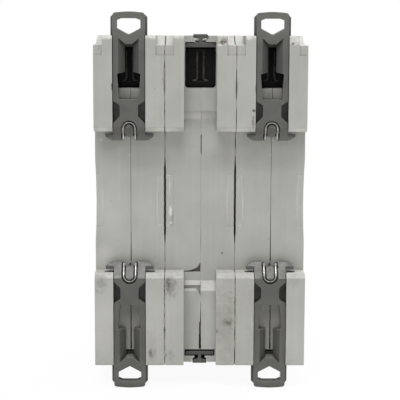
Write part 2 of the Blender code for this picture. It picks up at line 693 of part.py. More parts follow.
def shelves(side, seam, upward):
    """The floor of one terminal chamber, in two pieces with the conductor's strip between them."""
    low, high = upward * SHELF_TOP, upward * (SHELF_TOP - SHELF_THICKNESS)
    wall = side * (INNER_HALF + SIDE_WALL / 2)
    front = FRONT_WALL / 2 - SHOULDER_DEPTH
    return [
        box((seam, front, low), (wall, STRIP_FRONT - FIT, high)),
        box((seam, STRIP_FRONT + STRIP_THICKNESS + FIT, low), (wall, SHELF_REAR, high)),
    ]


def bosses(side):
    """Ring bosses on the side wall that carry the handle and the contact arm, with their bores."""
    root = side * (INNER_HALF + SIDE_WALL / 2)
    face = side * (INNER_HALF - BOSS_HEIGHT)
    bore_end = side * INNER_HALF
    rings, bores = [], []
    for centre, radius in (((HANDLE_Y, 0), TRUNNION_RADIUS), ((ARM_Y, ARM_Z), ARM_PIN_RADIUS)):
        rings.append(rod("X", *sorted((root, face)), centre, radius + FIT + BOSS_WALL, PEG_SIDES))
        bores.append(rod("X", *sorted((bore_end, face - side * OVERCUT)), centre, radius + FIT, PEG_SIDES))
    return rings, bores


def case_half(side, clipped):
    """One half of a pole's case, with or without clips. Side is 1 for the right half, at +X, else -1."""
    seam = SEAM_X + side * SEAM_GAP / 2
    low, high = sorted((seam, side * HALF_POLE))
    half = prism([case_outline()], "X", low, high)
    low, high = sorted((seam - side * OVERCUT, side * INNER_HALF))
    cut(half, prism([cavity_outline()], "X", low, high))
    fuse(half, notch_backing(side))
    for upward in (1, -1):
        cut(half, *channel_cutters(upward, clipped))
        cut(half, *end_cutters(upward))
    cut(half, *rear_cutters())
    cut(half, *flank_cutters(side))
    slot_x = LEVER_WIDTH / 2 + FIT
    slot_z = DRUM_RADIUS + FIT
    cut(half, box((-slot_x, -NOSE_DEPTH - OVERCUT, -slot_z),
                  (slot_x, FRONT_WALL + OVERCUT - NOSE_DEPTH, slot_z)))
    if side > 0:
        cut(half, *corner_cutters())
    rings, bores = bosses(side)
    fuse(half, *rings, *shelves(side, seam, 1), *shelves(side, seam, -1))
    cut(half, *bores)
    return template(half, CASE_PLASTIC)


# Rail clips and their springs

def clip_plan():
    """Outline of the clip's upper layer, seen from behind."""
    right = [(CLIP_HALF, CLIP_TIP, 0), (CLIP_HALF, CLIP_END - CLIP_CROWN, CLIP_CORNER)]
    top = [(0, CLIP_END, CLIP_CROWN_ROUND)]
    return rounded_outline(right + top + [(-x, z, radius) for x, z, radius in reversed(right)])


def waist_pocket(side):
    """What draws the clip in at its waist on one side, down to the pocket's floor."""
    inner, outer = side * WAIST_WIDTH / 2, side * (CLIP_HALF + OVERCUT)
    past = OVERCUT / (CLIP_HALF - WAIST_WIDTH / 2)
    end = WAIST_START + WAIST_LENGTH
    outline = rounded_outline([
        (outer, WAIST_START - WAIST_LEAD * past, 0),
        (inner, WAIST_START + WAIST_LEAD, WAIST_ROUND),
        (inner, end - WAIST_TAIL, WAIST_ROUND),
        (outer, end + WAIST_TAIL * past, 0),
    ])
    return prism([outline], "Y", WAIST_FLOOR, CLIP_FACE + OVERCUT)


def hook_plan():
    """Outline of the hook, whose leading edge is straight in the middle and bowed at its wings."""
    lobe, wing = HOOK_LOBE / 2, (HOOK_WIDTH - HOOK_LOBE) / 2
    right = [(lobe + wing, CLIP_TIP + HOOK_LENGTH)]
    for step in range(ARC_STEPS, -1, -1):
        share = step / ARC_STEPS
        right.append((lobe + wing * share, CLIP_TIP + HOOK_BOW * share ** HOOK_BOW_POWER))
    return right + [(-x, z) for x, z in reversed(right)]


def clip_window():
    """Outline of the keyhole window, a wide foot below a narrow slot."""
    right = [
        (KEY_BASE / 2, KEY_START),
        (KEY_WIDE / 2, KEY_STEP - KEY_SLANT),
        (KEY_NARROW / 2, KEY_STEP),
        (KEY_NARROW / 2, KEY_END + FUNNEL_SLOPE * (KEY_NARROW / 2 - FUNNEL_FLAT)),
        (FUNNEL_FLAT, KEY_END),
    ]
    return right + [(-x, z) for x, z in reversed(right)]


def funnel(share):
    """Outline of the funnel round the narrow slot, from its floor at 0 to the clip's face at 1."""
    half = KEY_NARROW / 2 + share * (FUNNEL_WIDTH - KEY_NARROW) / 2
    end = KEY_END + share * FUNNEL_LEAD
    start = KEY_STEP - OVERCUT / 2
    right = [(half, start), (half, end + FUNNEL_SLOPE * (half - FUNNEL_FLAT)), (FUNNEL_FLAT, end)]
    return right + [(-x, z) for x, z in reversed(right)]


def loop_hole():
    half = LOOP_WIDTH / 2
    right = [
        (half, LOOP_SHOULDER),
        (half, LOOP_TOP - LOOP_CHAMFER_HEIGHT),
        (half - LOOP_CHAMFER_WIDTH, LOOP_TOP),
    ]
    return [(0, LOOP_APEX)] + right + [(-x, z) for x, z in reversed(right)]


def spring_groove():
    """The groove that the wire lies in, a U round a middle tongue."""
    outer = (WIRE_SPAN + GROOVE_WIDTH) / 2
    inner = (WIRE_SPAN - GROOVE_WIDTH) / 2
    top = WIRE_TOP - WIRE_SPAN / 2
    steps = 3 * ARC_STEPS
    points = [(outer, CLIP_TIP - OVERCUT)]
    points += [(outer * cos(pi * k / steps), top + outer * sin(pi * k / steps)) for k in range(steps + 1)]
    points.append((-outer, CLIP_TIP - OVERCUT))
    points.append((-inner, CLIP_TIP - OVERCUT))
    points += [(-inner * cos(pi * k / steps), top + inner * sin(pi * k / steps)) for k in range(steps + 1)]
    points.append((inner, CLIP_TIP - OVERCUT))
    return points


def clip_base():
    """Outline of the clip's lower layer, which ends in the flanges that run in the T slot."""
    narrow, wide = CLIP_HALF - FIT, CLIP_HALF + CLIP_FLANGE
    start, step = HOOK_NOTCH_END, LEDGE_END + FIT
    end = CLIP_END - CLIP_CROWN - FLANGE_CORNER
    right = [(narrow, start), (narrow, step), (wide, step + CLIP_FLANGE), (wide, end)]
    right.append((wide - CLIP_FLANGE - FIT, end + CLIP_FLANGE + FIT))
    return right + [(-x, z) for x, z in reversed(right)]


def rail_clip():
    above = CLIP_FACE + OVERCUT
    clip = prism([clip_base()], "Y", FLANGE_BOTTOM, FLANGE_TOP)
    fuse(
        clip,
        prism([clip_plan()], "Y", FLANGE_BOTTOM + CLIP_FLANGE_THICKNESS / 2, CLIP_FACE),
        prism([hook_plan()], "Y", HOOK_UNDERSIDE, HOOK_UNDERSIDE + HOOK_THICKNESS),
    )
    rise = (RAMP_END - CLIP_TIP) / (CLIP_FACE - RAMP_TIP)
    ramp = [
        (RAMP_TIP, CLIP_TIP),
        (above, RAMP_END + rise * OVERCUT),
        (above, CLIP_TIP - OVERCUT),
        (RAMP_TIP - OVERCUT / rise, CLIP_TIP - OVERCUT),
    ]
    notch_half = HOOK_NOTCH_WIDTH / 2
    cut(
        clip,
        prism([ramp], "X", -HOOK_WIDTH, HOOK_WIDTH),
        box((-notch_half, 0, CLIP_TIP - OVERCUT), (notch_half, above, HOOK_NOTCH_END)),
        waist_pocket(1),
        waist_pocket(-1),
        prism([clip_window()], "Y", 0, above),
        taper(CLIP_FACE - FUNNEL_DEPTH, CLIP_FACE + FUNNEL_DEPTH, funnel(0), funnel(2)),
        prism([loop_hole()], "Y", 0, above),
        prism([spring_groove()], "Y", GROOVE_FLOOR, above),
    )
    return template(clip, CLIP_PLASTIC)


def wire_path():
    """Centre line of the wire: up one leg, round the bend and down the other, sunk in the ramp."""
    radius = WIRE_SPAN / 2
    bend = WIRE_TOP - radius
    foot = HOOK_NOTCH_END - WIRE_REACH
    rise = (CLIP_FACE - RAMP_TIP) / (RAMP_END - CLIP_TIP)

    def on_ramp(x, z):
        sunk = RAMP_TIP + rise * (min(z, bend) - CLIP_TIP) - 2 * WIRE_RADIUS
        return x, max(sunk, GROOVE_FLOOR + FIT + WIRE_RADIUS), z

    path = [on_ramp(radius, foot), on_ramp(radius, (foot + bend) / 2)]
    for step in range(WIRE_ARC_STEPS + 1):
        angle = pi * step / WIRE_ARC_STEPS
        path.append(on_ramp(radius * cos(angle), bend + radius * sin(angle)))
    return path + [on_ramp(-radius, (foot + bend) / 2), on_ramp(-radius, foot)]


def wire(points, radius, finish):
    """A round wire along a line of points, with closed ends."""
    curve = bpy.data.curves.new("wire", "CURVE")
    curve.dimensions = "3D"
    curve.bevel_depth = radius
    curve.bevel_resolution = 1
    curve.use_fill_caps = True
    spline = curve.splines.new("POLY")
    spline.points.add(len(points) - 1)
    for point, (x, y, z) in zip(spline.points, points):
        point.co = (x, y, z, 1)
    obj = bpy.data.objects.new("wire", curve)
    PARTS.objects.link(obj)
    mesh = evaluated_mesh(obj)
    bpy.data.objects.remove(obj)
    tidy_mesh(mesh)
    return template(mesh_object(mesh), finish)


# Vent and arc chute

def arc_vent():
    half = WINDOW_HALF - FIT
    low, high = WINDOW_START + FIT, VENT_TOP
    flange_half = half + VENT_FLANGE
    vent = box((-flange_half, VENT_FLANGE_FRONT, low - VENT_FLANGE),
               (flange_half, VENT_FLANGE_REAR, high - VENT_ROUND))
    plug = rectangle((-half, low), (half, high), VENT_ROUND)
    fuse(vent, prism([plug], "Y", VENT_FLANGE_REAR - VENT_FLANGE_THICKNESS / 2, VENT_FACE))
    foot, stem = VENT_FOOT_WIDTH / 2, VENT_GROOVE_WIDTH / 2
    groove = rounded_outline([
        (foot, VENT_FOOT, 0),
        (foot, VENT_FOOT + VENT_FOOT_HEIGHT, VENT_FOOT_HEIGHT / 3),
        (stem, VENT_FOOT + VENT_FOOT_HEIGHT, VENT_FOOT_HEIGHT / 2),
        (stem, VENT_GROOVE_TOP, 0),
        (-stem, VENT_GROOVE_TOP, 0),
        (-stem, VENT_FOOT + VENT_FOOT_HEIGHT, VENT_FOOT_HEIGHT / 2),
        (-foot, VENT_FOOT + VENT_FOOT_HEIGHT, VENT_FOOT_HEIGHT / 3),
        (-foot, VENT_FOOT, 0),
    ])
    cut(vent, prism([groove], "Y", VENT_FACE - VENT_GROOVE_DEPTH, VENT_FACE + OVERCUT))
    return template(vent, VENT_PLASTIC)


def arc_chute():
    """Splitter plates held between two side cards, notched at the front where the arc runs in."""
    card_inner = SEATED_HALF - CHUTE_CARD
    cards = [
        box((side * card_inner, CHUTE_FRONT, CHUTE_BOTTOM), (side * SEATED_HALF, CHUTE_REAR, CHUTE_TOP))
        for side in (1, -1)
    ]
    step = (CHUTE_TOP - CHUTE_BOTTOM - CHUTE_PLATE_THICKNESS) / CHUTE_PLATES
    bite = card_inner + CHUTE_CARD / 2
    plates = []
    for number in range(CHUTE_PLATES):
        low = CHUTE_BOTTOM + step * (number + 0.5)
        plates.append(box((-bite, CHUTE_FRONT + CHUTE_CARD, low),
                          (bite, CHUTE_REAR - CHUTE_CARD, low + CHUTE_PLATE_THICKNESS)))
    chute = fuse(cards[0], cards[1], *plates)
    front = CHUTE_FRONT - OVERCUT
    notch = [(-card_inner / 2, front), (card_inner / 2, front), (0, CHUTE_FRONT + CHUTE_NOTCH)]
    cut(chute, prism([notch], "Z", CHUTE_BOTTOM, CHUTE_TOP))
    return template(chute, ZINC_STEEL)


# Terminals

def terminal_cage():
    """A folded steel cage about the terminal's own axis, open along the wire."""
    half_x, half_z = CAGE_WIDTH / 2, CAGE_LENGTH / 2
    front, rear = CAGE_FRONT + CAGE_WALL, CAGE_REAR - CAGE_WALL
    cage = prism([rectangle((-half_x, CAGE_FRONT), (half_x, CAGE_REAR), CAGE_WALL)], "Z", -half_z, half_z)
    cut(
        cage,
        box((CAGE_WALL - half_x, front, -half_z - OVERCUT), (half_x - CAGE_WALL, rear, half_z + OVERCUT)),
        rod("Y", CAGE_FRONT - OVERCUT, front + OVERCUT, (0, 0), SCREW_RADIUS + FIT),
    )
    return template(cage, ZINC_STEEL)


def terminal_screw():
    """A slotted screw turned about Y, from its head at the front to its tip."""
    profile = [
        (0, SCREW_HEAD_FACE),
        (SCREW_HEAD_RADIUS - FIT, SCREW_HEAD_FACE),
        (SCREW_HEAD_RADIUS, SCREW_HEAD_FACE + FIT),
        (SCREW_HEAD_RADIUS, SCREW_HEAD_FACE + SCREW_HEAD_HEIGHT),
        (SCREW_RADIUS, SCREW_HEAD_FACE + SCREW_HEAD_HEIGHT),
        (SCREW_RADIUS, SCREW_TIP - FIT),
        (SCREW_RADIUS - FIT, SCREW_TIP),
        (0, SCREW_TIP),
    ]
    mesh = bpy.data.meshes.new("profile")
    mesh.from_pydata([(x, y, 0) for x, y in profile], [(k, k + 1) for k in range(len(profile) - 1)], [])
    screw = mesh_object(mesh)
    turning = screw.modifiers.new("turned", "SCREW")
    turning.axis = "Y"
    turning.steps = turning.render_steps = ROUND_SIDES
    turning.use_merge_vertices = True
    turning.merge_threshold = 1e-6
    screw.data = evaluated_mesh(screw)
    screw.modifiers.clear()
    tidy_mesh(screw.data)
    cut(screw, box((-SCREW_HEAD_RADIUS - OVERCUT, SCREW_HEAD_FACE - OVERCUT, -SCREW_SLOT_WIDTH / 2),
                   (SCREW_HEAD_RADIUS + OVERCUT, SCREW_HEAD_FACE + SCREW_SLOT_DEPTH, SCREW_SLOT_WIDTH / 2)))
    return template(screw, ZINC_STEEL)


def terminal_shutter():
    """A plate under the end wall, a lug behind the cage and a T-shaped tab in the end wall's slot."""
    half = SHUTTER_HALF
    top = END_INSIDE - FIT
    front = CAGE_REAR + FIT
    tab = [
        (TAB_STEM / 2, top - SHUTTER_THICKNESS / 2, 0),
        (TAB_STEM / 2, TAB_LOW - TAB_FLARE, TAB_ROUND),
        (TAB_WIDTH / 2, TAB_LOW, TAB_ROUND),
        (TAB_WIDTH / 2, TAB_TOP, TAB_ROUND),
    ]
    tab += [(-x, z, radius) for x, z, radius in reversed(tab)]
    shutter = box((-half, front, top - SHUTTER_THICKNESS), (half, SHUTTER_REAR, top))
    fuse(
        shutter,
        box((-half, front, top - SHUTTER_LUG), (half, front + SHUTTER_THICKNESS, top)),
        prism([rounded_outline(tab)], "Y", SHUTTER_REAR - TAB_LENGTH, SHUTTER_REAR),
    )
    return template(shutter, CLIP_PLASTIC)


# Contacts and conductors

def arm_closed_angle():
    """How far the arm leans back from upright when its tip is at the fixed contact."""
    face = ARM_WIDTH / 2
    reach = STRIP_FRONT - TIP_THICKNESS - CONTACT_GAP - ARM_Y
    return asin(reach / hypot(face, ARM_REACH)) - atan2(face, ARM_REACH)


def contact_arm():
    """The arm about its own pivot, upright, with its pin and its contact tip."""
    half = ARM_WIDTH / 2
    end = ARM_REACH + TIP_HEIGHT / 2
    arm = prism([rounded_outline([
        (-half - FIT, -ARM_HEEL, half), (half + FIT, -ARM_HEEL, half),
        (half - FIT, end, FIT), (-half / 2, end, half / 2),
    ])], "X", -ARM_THICKNESS / 2, ARM_THICKNESS / 2)
    fuse(
        arm,
        rod("X", -SEATED_HALF, SEATED_HALF, (0, 0), ARM_PIN_RADIUS, PEG_SIDES),
        box((-TIP_WIDTH / 2, half - TIP_THICKNESS, ARM_REACH - TIP_HEIGHT / 2),
            (TIP_WIDTH / 2, half, end - FIT)),
    )
    return template(arm, COPPER)


def fixed_contact():
    """The upper conductor, from the tongue in the terminal down to the fixed contact tip."""
    back = STRIP_FRONT + STRIP_THICKNESS
    top = TERMINAL_Z + CAGE_LENGTH / 2
    tip_z = ARM_Z + ARM_REACH
    low = tip_z - TIP_HEIGHT / 2
    strip = box((-STRIP_WIDTH / 2, STRIP_FRONT, low), (STRIP_WIDTH / 2, back, top))
    tongue_low = TERMINAL_Z - CAGE_LENGTH / 2
    fuse(
        strip,
        box((-TONGUE_WIDTH / 2, STRIP_FRONT, tongue_low), (TONGUE_WIDTH / 2, back, top)),
        box((-SEATED_HALF, STRIP_FRONT, FIXED_EAR_Z), (SEATED_HALF, back, FIXED_EAR_Z + EAR_HEIGHT)),
        box((-TIP_WIDTH / 2, STRIP_FRONT - TIP_THICKNESS, low),
            (TIP_WIDTH / 2, STRIP_FRONT + STRIP_THICKNESS / 2, low + TIP_HEIGHT)),
    )
    return template(strip, COPPER)


def bimetal():
    """The lower conductor: a tongue in the terminal, a held ear and the thermal strip above it."""
    back = STRIP_FRONT + STRIP_THICKNESS
    low = -TERMINAL_Z - CAGE_LENGTH / 2
    ear_low = BIMETAL_JOG_Z - EAR_HEIGHT
    tongue = box((-TONGUE_WIDTH / 2, STRIP_FRONT, low), (TONGUE_WIDTH / 2, back, BIMETAL_JOG_Z))
    fuse(
        tongue,
        box((-SEATED_HALF, STRIP_FRONT, ear_low), (SEATED_HALF, back, BIMETAL_JOG_Z)),
        box((-BIMETAL_WIDTH / 2, BIMETAL_Y, BIMETAL_JOG_Z - STRIP_THICKNESS),
            (BIMETAL_WIDTH / 2, back, BIMETAL_JOG_Z)),
        box((-BIMETAL_WIDTH / 2, BIMETAL_Y, BIMETAL_JOG_Z - STRIP_THICKNESS),
            (BIMETAL_WIDTH / 2, BIMETAL_Y + BIMETAL_THICKNESS, BIMETAL_TOP)),
    )
    return template(tongue, BIMETAL)


# Trip coil, plunger and trip bar

def coil_path():
    """Centre line of the winding about Y, between the side walls, with a straight run at each end."""
    radius = SEATED_HALF - COIL_WIRE_RADIUS
    pitch = 2 * COIL_WIRE_RADIUS + COIL_TURN_GAP
    start = COIL_Y - pitch * COIL_TURNS / 2
    path = []
    for step in range(COIL_TURNS * COIL_POINTS_PER_TURN + 1):
        turns = step / COIL_POINTS_PER_TURN
        angle = 2 * pi * turns
        path.append((radius * sin(angle), start + pitch * turns, COIL_Z + radius * cos(angle)))
    run = 2 * COIL_WIRE_RADIUS
    first, last = path[0], path[-1]
    return [(first[0] - run, *first[1:])] + path + [(last[0] + run, *last[1:])]


def least_turn_gap(path):
    """Smallest gap between wires that lie at least half a turn apart along the path."""
    apart = COIL_POINTS_PER_TURN // 2
    points = [Vector(point) for point in path]
    nearest = min(
        (points[a] - points[b]).length for a in range(len(points)) for b in range(a + apart, len(points))
    )
    return nearest - 2 * COIL_WIRE_RADIUS


def trip_plunger():
    """The iron slug inside the coil and its striking rod, both round about Y."""
    slug_radius = SEATED_HALF - 2 * COIL_WIRE_RADIUS - PLUNGER_GAP
    slug = rod("Y", PLUNGER_FRONT, PLUNGER_FRONT + PLUNGER_LENGTH, (0, COIL_Z), slug_radius)
    middle = PLUNGER_FRONT + PLUNGER_LENGTH / 2
    fuse(slug, rod("Y", PLUNGER_ROD_TIP, middle, (0, COIL_Z), PLUNGER_ROD_RADIUS, PEG_SIDES))
    return template(slug, ZINC_STEEL)


def trip_bar():
    """The bar through all poles about its own axis, with a finger in front of each plunger."""
    reach = pole_x(POLE_COUNT) + HALF_POLE - FIT
    bar = rod("X", -reach, reach, (0, 0), TRIP_BAR_RADIUS, RIVET_SIDES)
    half = TRIP_FINGER_WIDTH / 2
    fingers = []
    for number in POLE_NUMBERS:
        x = pole_x(number)
        fingers.append(box((x - half, -TRIP_FINGER_THICKNESS / 2, 0),
                           (x + half, TRIP_FINGER_THICKNESS / 2, TRIP_FINGER_TOP - TRIP_BAR_Z)))
    fuse(bar, *fingers)
    return template(bar, TRIP_PLASTIC)


# Handle and rivets

def toggle():
    """A drum with trunnions and a lever, about its own axis, with the lever level."""
    half = LEVER_WIDTH / 2
    drum = rod("X", -half, half, (0, 0), DRUM_RADIUS, DRUM_SIDES)
    lever = rounded_outline([
        (0, LEVER_ROOT / 2, 0), (0, -LEVER_ROOT / 2, 0),
        (-LEVER_LENGTH, -LEVER_TIP / 2, LEVER_TIP / 3), (-LEVER_LENGTH, LEVER_TIP / 2, LEVER_TIP / 3),
    ])
    fuse(
        drum,
        prism([lever], "X", -half, half),
        rod("X", -SEATED_HALF, SEATED_HALF, (0, 0), TRUNNION_RADIUS, PEG_SIDES),
    )
    cut(drum, rod("X", -half - OVERCUT, half + OVERCUT, (-TIE_REACH, 0), TIE_RADIUS + FIT, RIVET_SIDES))
    return template(drum, HANDLE_PLASTIC)


def handle_tie():
    """The pin that joins the levers, given about the handle's axis, with a head at each end."""
    reach = pole_x(POLE_COUNT) + LEVER_WIDTH / 2 + FIT
    pin = rod("X", -reach - TIE_RADIUS, reach + TIE_RADIUS, (-TIE_REACH, 0), TIE_RADIUS, RIVET_SIDES)
    heads = []
    for side in (1, -1):
        low, high = sorted((side * reach, side * (reach + TIE_RADIUS)))
        heads.append(rod("X", low, high, (-TIE_REACH, 0), TIE_HEAD_RADIUS, RIVET_SIDES))
    fuse(pin, *heads)
    return template(pin, HANDLE_PLASTIC)


def rivet():
    """A headed pin through every case half, about its own axis."""
    reach = pole_x(POLE_COUNT) + HALF_POLE - RIVET_SUNK
    shank = rod("X", -reach + FIT, reach - FIT, (0, 0), RIVET_RADIUS, PEG_SIDES)
    heads = []
    for side in (1, -1):
        low, high = sorted((side * (reach - RIVET_HEAD_HEIGHT), side * reach))
        heads.append(rod("X", low, high, (0, 0), RIVET_HEAD_RADIUS, RIVET_SIDES))
    fuse(shank, *heads)
    return template(shank, ZINC_STEEL)


# Assembly

case_meshes = {}
for clipped in (True, False):
    case_meshes["left", clipped] = case_half(-1, clipped)
    case_meshes["right", clipped] = case_half(1, clipped)
vent_mesh, chute_mesh = arc_vent(), arc_chute()
fixed_mesh, arm_mesh, bimetal_mesh = fixed_contact(), contact_arm(), bimetal()
winding = coil_path()
coil_mesh, plunger_mesh = wire(winding, COIL_WIRE_RADIUS, COPPER), trip_plunger()
cage_mesh, screw_mesh, shutter_mesh = terminal_cage(), terminal_screw(), terminal_shutter()
toggle_mesh = toggle()
clip_mesh, spring_mesh = rail_clip(), wire(wire_path(), WIRE_RADIUS, SPRING_STEEL)

for number in POLE_NUMBERS:
    x = pole_x(number)
    for half_name in ("left", "right"):
        node(f"case_{half_name}_{number}", case_meshes[half_name, number in CLIP_POLES], (x, 0, 0))
    node(f"arc_vent_{number}", vent_mesh, (x, 0, 0))
    node(f"arc_chute_{number}", chute_mesh, (x, 0, 0))
    node(f"fixed_contact_{number}", fixed_mesh, (x, 0, 0))
    node(f"bimetal_{number}", bimetal_mesh, (x, 0, 0))
    node(f"trip_coil_{number}", coil_mesh, (x, 0, 0))
    node(f"trip_plunger_{number}", plunger_mesh, (x, 0, 0))
    node(f"contact_arm_{number}", arm_mesh, (x, ARM_Y, ARM_Z), (ARM_OPENING - arm_closed_angle(), 0, 0))
    node(f"toggle_{number}", toggle_mesh, (x, HANDLE_Y, 0), (HANDLE_REST, 0, 0))
    for end, turn in ENDS.items():
        height = TERMINAL_Z * cos(turn)
        node(f"terminal_cage_{end}_{number}", cage_mesh, (x, 0, height), (0, turn, 0))
        node(f"terminal_screw_{end}_{number}", screw_mesh, (x, 0, height), (0, turn, 0))
        node(f"terminal_shutter_{end}_{number}", shutter_mesh, (x, 0, 0), (0, turn, 0))
        if number in CLIP_POLES:
            node(f"rail_clip_{end}_{number}", clip_mesh, (x, 0, 0), (0, turn, 0))
            node(f"clip_spring_{end}_{number}", spring_mesh, (x, 0, 0), (0, turn, 0))

node("trip_bar", trip_bar(), (0, TRIP_BAR_Y, TRIP_BAR_Z))
node("handle_tie", handle_tie(), (0, HANDLE_Y, 0), (HANDLE_REST, 0, 0))
rivet_mesh = rivet()
for place_name, (y, z) in RIVET_PLACES.items():
    node(f"rivet_{place_name}", rivet_mesh, (0, y, z))

print(f"least gap between coil turns: {least_turn_gap(winding) / MM:.2f} mm")
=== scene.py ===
"""The looks of a three-pole modular circuit breaker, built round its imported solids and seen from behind."""

from math import cos, pi, radians, sin

import bpy
from mathutils import Matrix, Vector


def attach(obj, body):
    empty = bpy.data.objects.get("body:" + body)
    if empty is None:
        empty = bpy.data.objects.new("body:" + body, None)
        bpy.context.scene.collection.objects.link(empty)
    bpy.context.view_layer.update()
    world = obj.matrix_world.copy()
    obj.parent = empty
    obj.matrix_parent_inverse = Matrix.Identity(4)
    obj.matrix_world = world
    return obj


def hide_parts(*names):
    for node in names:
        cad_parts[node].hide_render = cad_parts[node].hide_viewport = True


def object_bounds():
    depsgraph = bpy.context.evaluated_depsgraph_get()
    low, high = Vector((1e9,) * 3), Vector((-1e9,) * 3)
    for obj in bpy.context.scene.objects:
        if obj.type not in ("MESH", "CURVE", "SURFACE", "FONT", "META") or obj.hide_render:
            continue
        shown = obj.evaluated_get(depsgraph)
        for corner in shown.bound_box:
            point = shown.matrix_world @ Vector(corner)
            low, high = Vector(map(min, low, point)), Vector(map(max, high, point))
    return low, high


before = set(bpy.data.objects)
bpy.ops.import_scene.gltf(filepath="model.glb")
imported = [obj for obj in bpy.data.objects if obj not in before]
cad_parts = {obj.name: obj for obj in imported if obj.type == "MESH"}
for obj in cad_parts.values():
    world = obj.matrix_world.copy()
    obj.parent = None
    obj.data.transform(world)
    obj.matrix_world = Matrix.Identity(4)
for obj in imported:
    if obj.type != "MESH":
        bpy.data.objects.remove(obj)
solids_low, solids_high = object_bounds()

# The view is that of a long lens a little above the middle of the back, looking slightly down.
# The picture is square, so the lens and the width of the sensor set all of its field.
MM = 0.001
CAMERA_PLACE = Vector((4.18, 343.27, 49.54)) * MM
CAMERA_PITCH = 0.143
CAMERA_YAW = 0.0122
CAMERA_ROLL = 0.0038
CAMERA_LENS = 122.65
CAMERA_SENSOR = 36.0
CAMERA_NEAR = 10 * MM
camera_data = bpy.data.cameras.new("camera")
camera_data.lens = CAMERA_LENS
camera_data.sensor_width = CAMERA_SENSOR
camera_data.clip_start = CAMERA_NEAR
camera = bpy.data.objects.new("camera", camera_data)
turned = Matrix.Rotation(pi - CAMERA_YAW, 4, "Z") @ Matrix.Rotation(pi / 2 - CAMERA_PITCH, 4, "X")
camera.matrix_world = Matrix.Translation(CAMERA_PLACE) @ turned @ Matrix.Rotation(CAMERA_ROLL, 4, "Z")
bpy.context.scene.collection.objects.link(camera)
bpy.context.scene.camera = camera
bpy.context.scene.view_settings.view_transform = "Standard"


# The floor is a wide sheet of pale studio paper that the lower clips stand on.
# The lens and polished pieces see it white, and a little of the object's shadow stays on it.
FLOOR_SIZE = 6.0
FLOOR_SHADOW = 0.06
FLOOR_CLEAR = 0.3
FLOOR_COLOUR = (0.91, 0.91, 0.9, 1)
WHITE = (1, 1, 1, 1)


def add_node(tree, kind, inputs=None, **settings):
    """A node in a tree, with its settings, and each named input linked to a socket or set to a value."""
    made = tree.nodes.new(kind)
    for name, value in settings.items():
        setattr(made, name, value)
    for name, value in (inputs or {}).items():
        if isinstance(value, bpy.types.NodeSocket):
            tree.links.new(value, made.inputs[name])
        else:
            made.inputs[name].default_value = value
    return made


def calc(tree, operation, *terms, clamp=False):
    """The result of a Math node on sockets or numbers."""
    return add_node(
        tree, "ShaderNodeMath", dict(enumerate(terms)), operation=operation, use_clamp=clamp
    ).outputs[0]


def vector_calc(tree, operation, *terms):
    """The outputs of a Vector Math node on sockets or vectors."""
    return add_node(tree, "ShaderNodeVectorMath", dict(enumerate(terms)), operation=operation).outputs


def spot_on(tree):
    """The place on the object, in metres."""
    return add_node(tree, "ShaderNodeTexCoord").outputs["Object"]


def seen_directly(tree):
    """One for rays from the lens, and for those by way of gloss or glass."""
    path = add_node(tree, "ShaderNodeLightPath")
    seen = calc(tree, "MAXIMUM", path.outputs["Is Camera Ray"], path.outputs["Is Glossy Ray"])
    return calc(tree, "MAXIMUM", seen, path.outputs["Is Transmission Ray"])


paper = bpy.data.materials.new("studio_paper")
paper.use_nodes = True
tree = paper.node_tree
tree.nodes.clear()
matt = add_node(tree, "ShaderNodeBsdfDiffuse", {"Color": FLOOR_COLOUR})
bright = add_node(tree, "ShaderNodeEmission", {"Color": WHITE, "Strength": 1.0})
reach = vector_calc(tree, "LENGTH", spot_on(tree))["Value"]
white = add_node(
    tree,
    "ShaderNodeMapRange",
    {"Value": reach, "From Max": FLOOR_CLEAR, "To Min": 1 - FLOOR_SHADOW, "To Max": 1.0},
).outputs["Result"]
share = calc(tree, "MULTIPLY", seen_directly(tree), white)
blend = add_node(tree, "ShaderNodeMixShader", {0: share, 1: matt.outputs[0], 2: bright.outputs[0]})
add_node(tree, "ShaderNodeOutputMaterial", {"Surface": blend.outputs[0]})
half = FLOOR_SIZE / 2
corners = [(-half, -half, 0), (half, -half, 0), (half, half, 0), (-half, half, 0)]
floor_mesh = bpy.data.meshes.new("floor")
floor_mesh.from_pydata(corners, [], [(0, 1, 2, 3)])
floor_mesh.materials.append(paper)
floor = bpy.data.objects.new("floor", floor_mesh)
floor.location.z = solids_low.z
bpy.context.scene.collection.objects.link(floor)


# Light comes from the white roof and sides of an open-ended tent, and from two soft boxes outside it.
# At this level a face that looks at the lens renders about as its colour is written.
AMBIENT = 0.68
OPEN_SIDE = 0.12
CLOTH_ENDS = 0.15
OPENING_STARTS = 0.9
world = bpy.data.worlds.new("studio")
world.use_nodes = True
tree = world.node_tree
tree.nodes.clear()
towards = add_node(tree, "ShaderNodeTexCoord").outputs["Generated"]
length_ways = add_node(tree, "ShaderNodeSeparateXYZ", {"Vector": towards}).outputs["Y"]
tent = add_node(
    tree,
    "ShaderNodeMapRange",
    {
        "Value": calc(tree, "ABSOLUTE", length_ways),
        "From Min": CLOTH_ENDS,
        "From Max": OPENING_STARTS,
        "To Min": AMBIENT,
        "To Max": OPEN_SIDE,
    },
).outputs["Result"]
walls = add_node(tree, "ShaderNodeBackground", {"Color": WHITE, "Strength": tent})
backdrop = add_node(tree, "ShaderNodeBackground", {"Color": WHITE, "Strength": 1.0})
mixed = add_node(
    tree, "ShaderNodeMixShader", {0: seen_directly(tree), 1: walls.outputs[0], 2: backdrop.outputs[0]}
)
add_node(tree, "ShaderNodeOutputWorld", {"Surface": mixed.outputs[0]})
bpy.context.scene.world = world


def soft_box(name, place, size, power):
    """A square area lamp that looks at the middle of the object."""
    lamp = bpy.data.lights.new(name, "AREA")
    lamp.size = size
    lamp.energy = power
    holder = bpy.data.objects.new(name, lamp)
    holder.location = place
    holder.rotation_euler = (-Vector(place)).to_track_quat("-Z", "Y").to_euler()
    bpy.context.scene.collection.objects.link(holder)


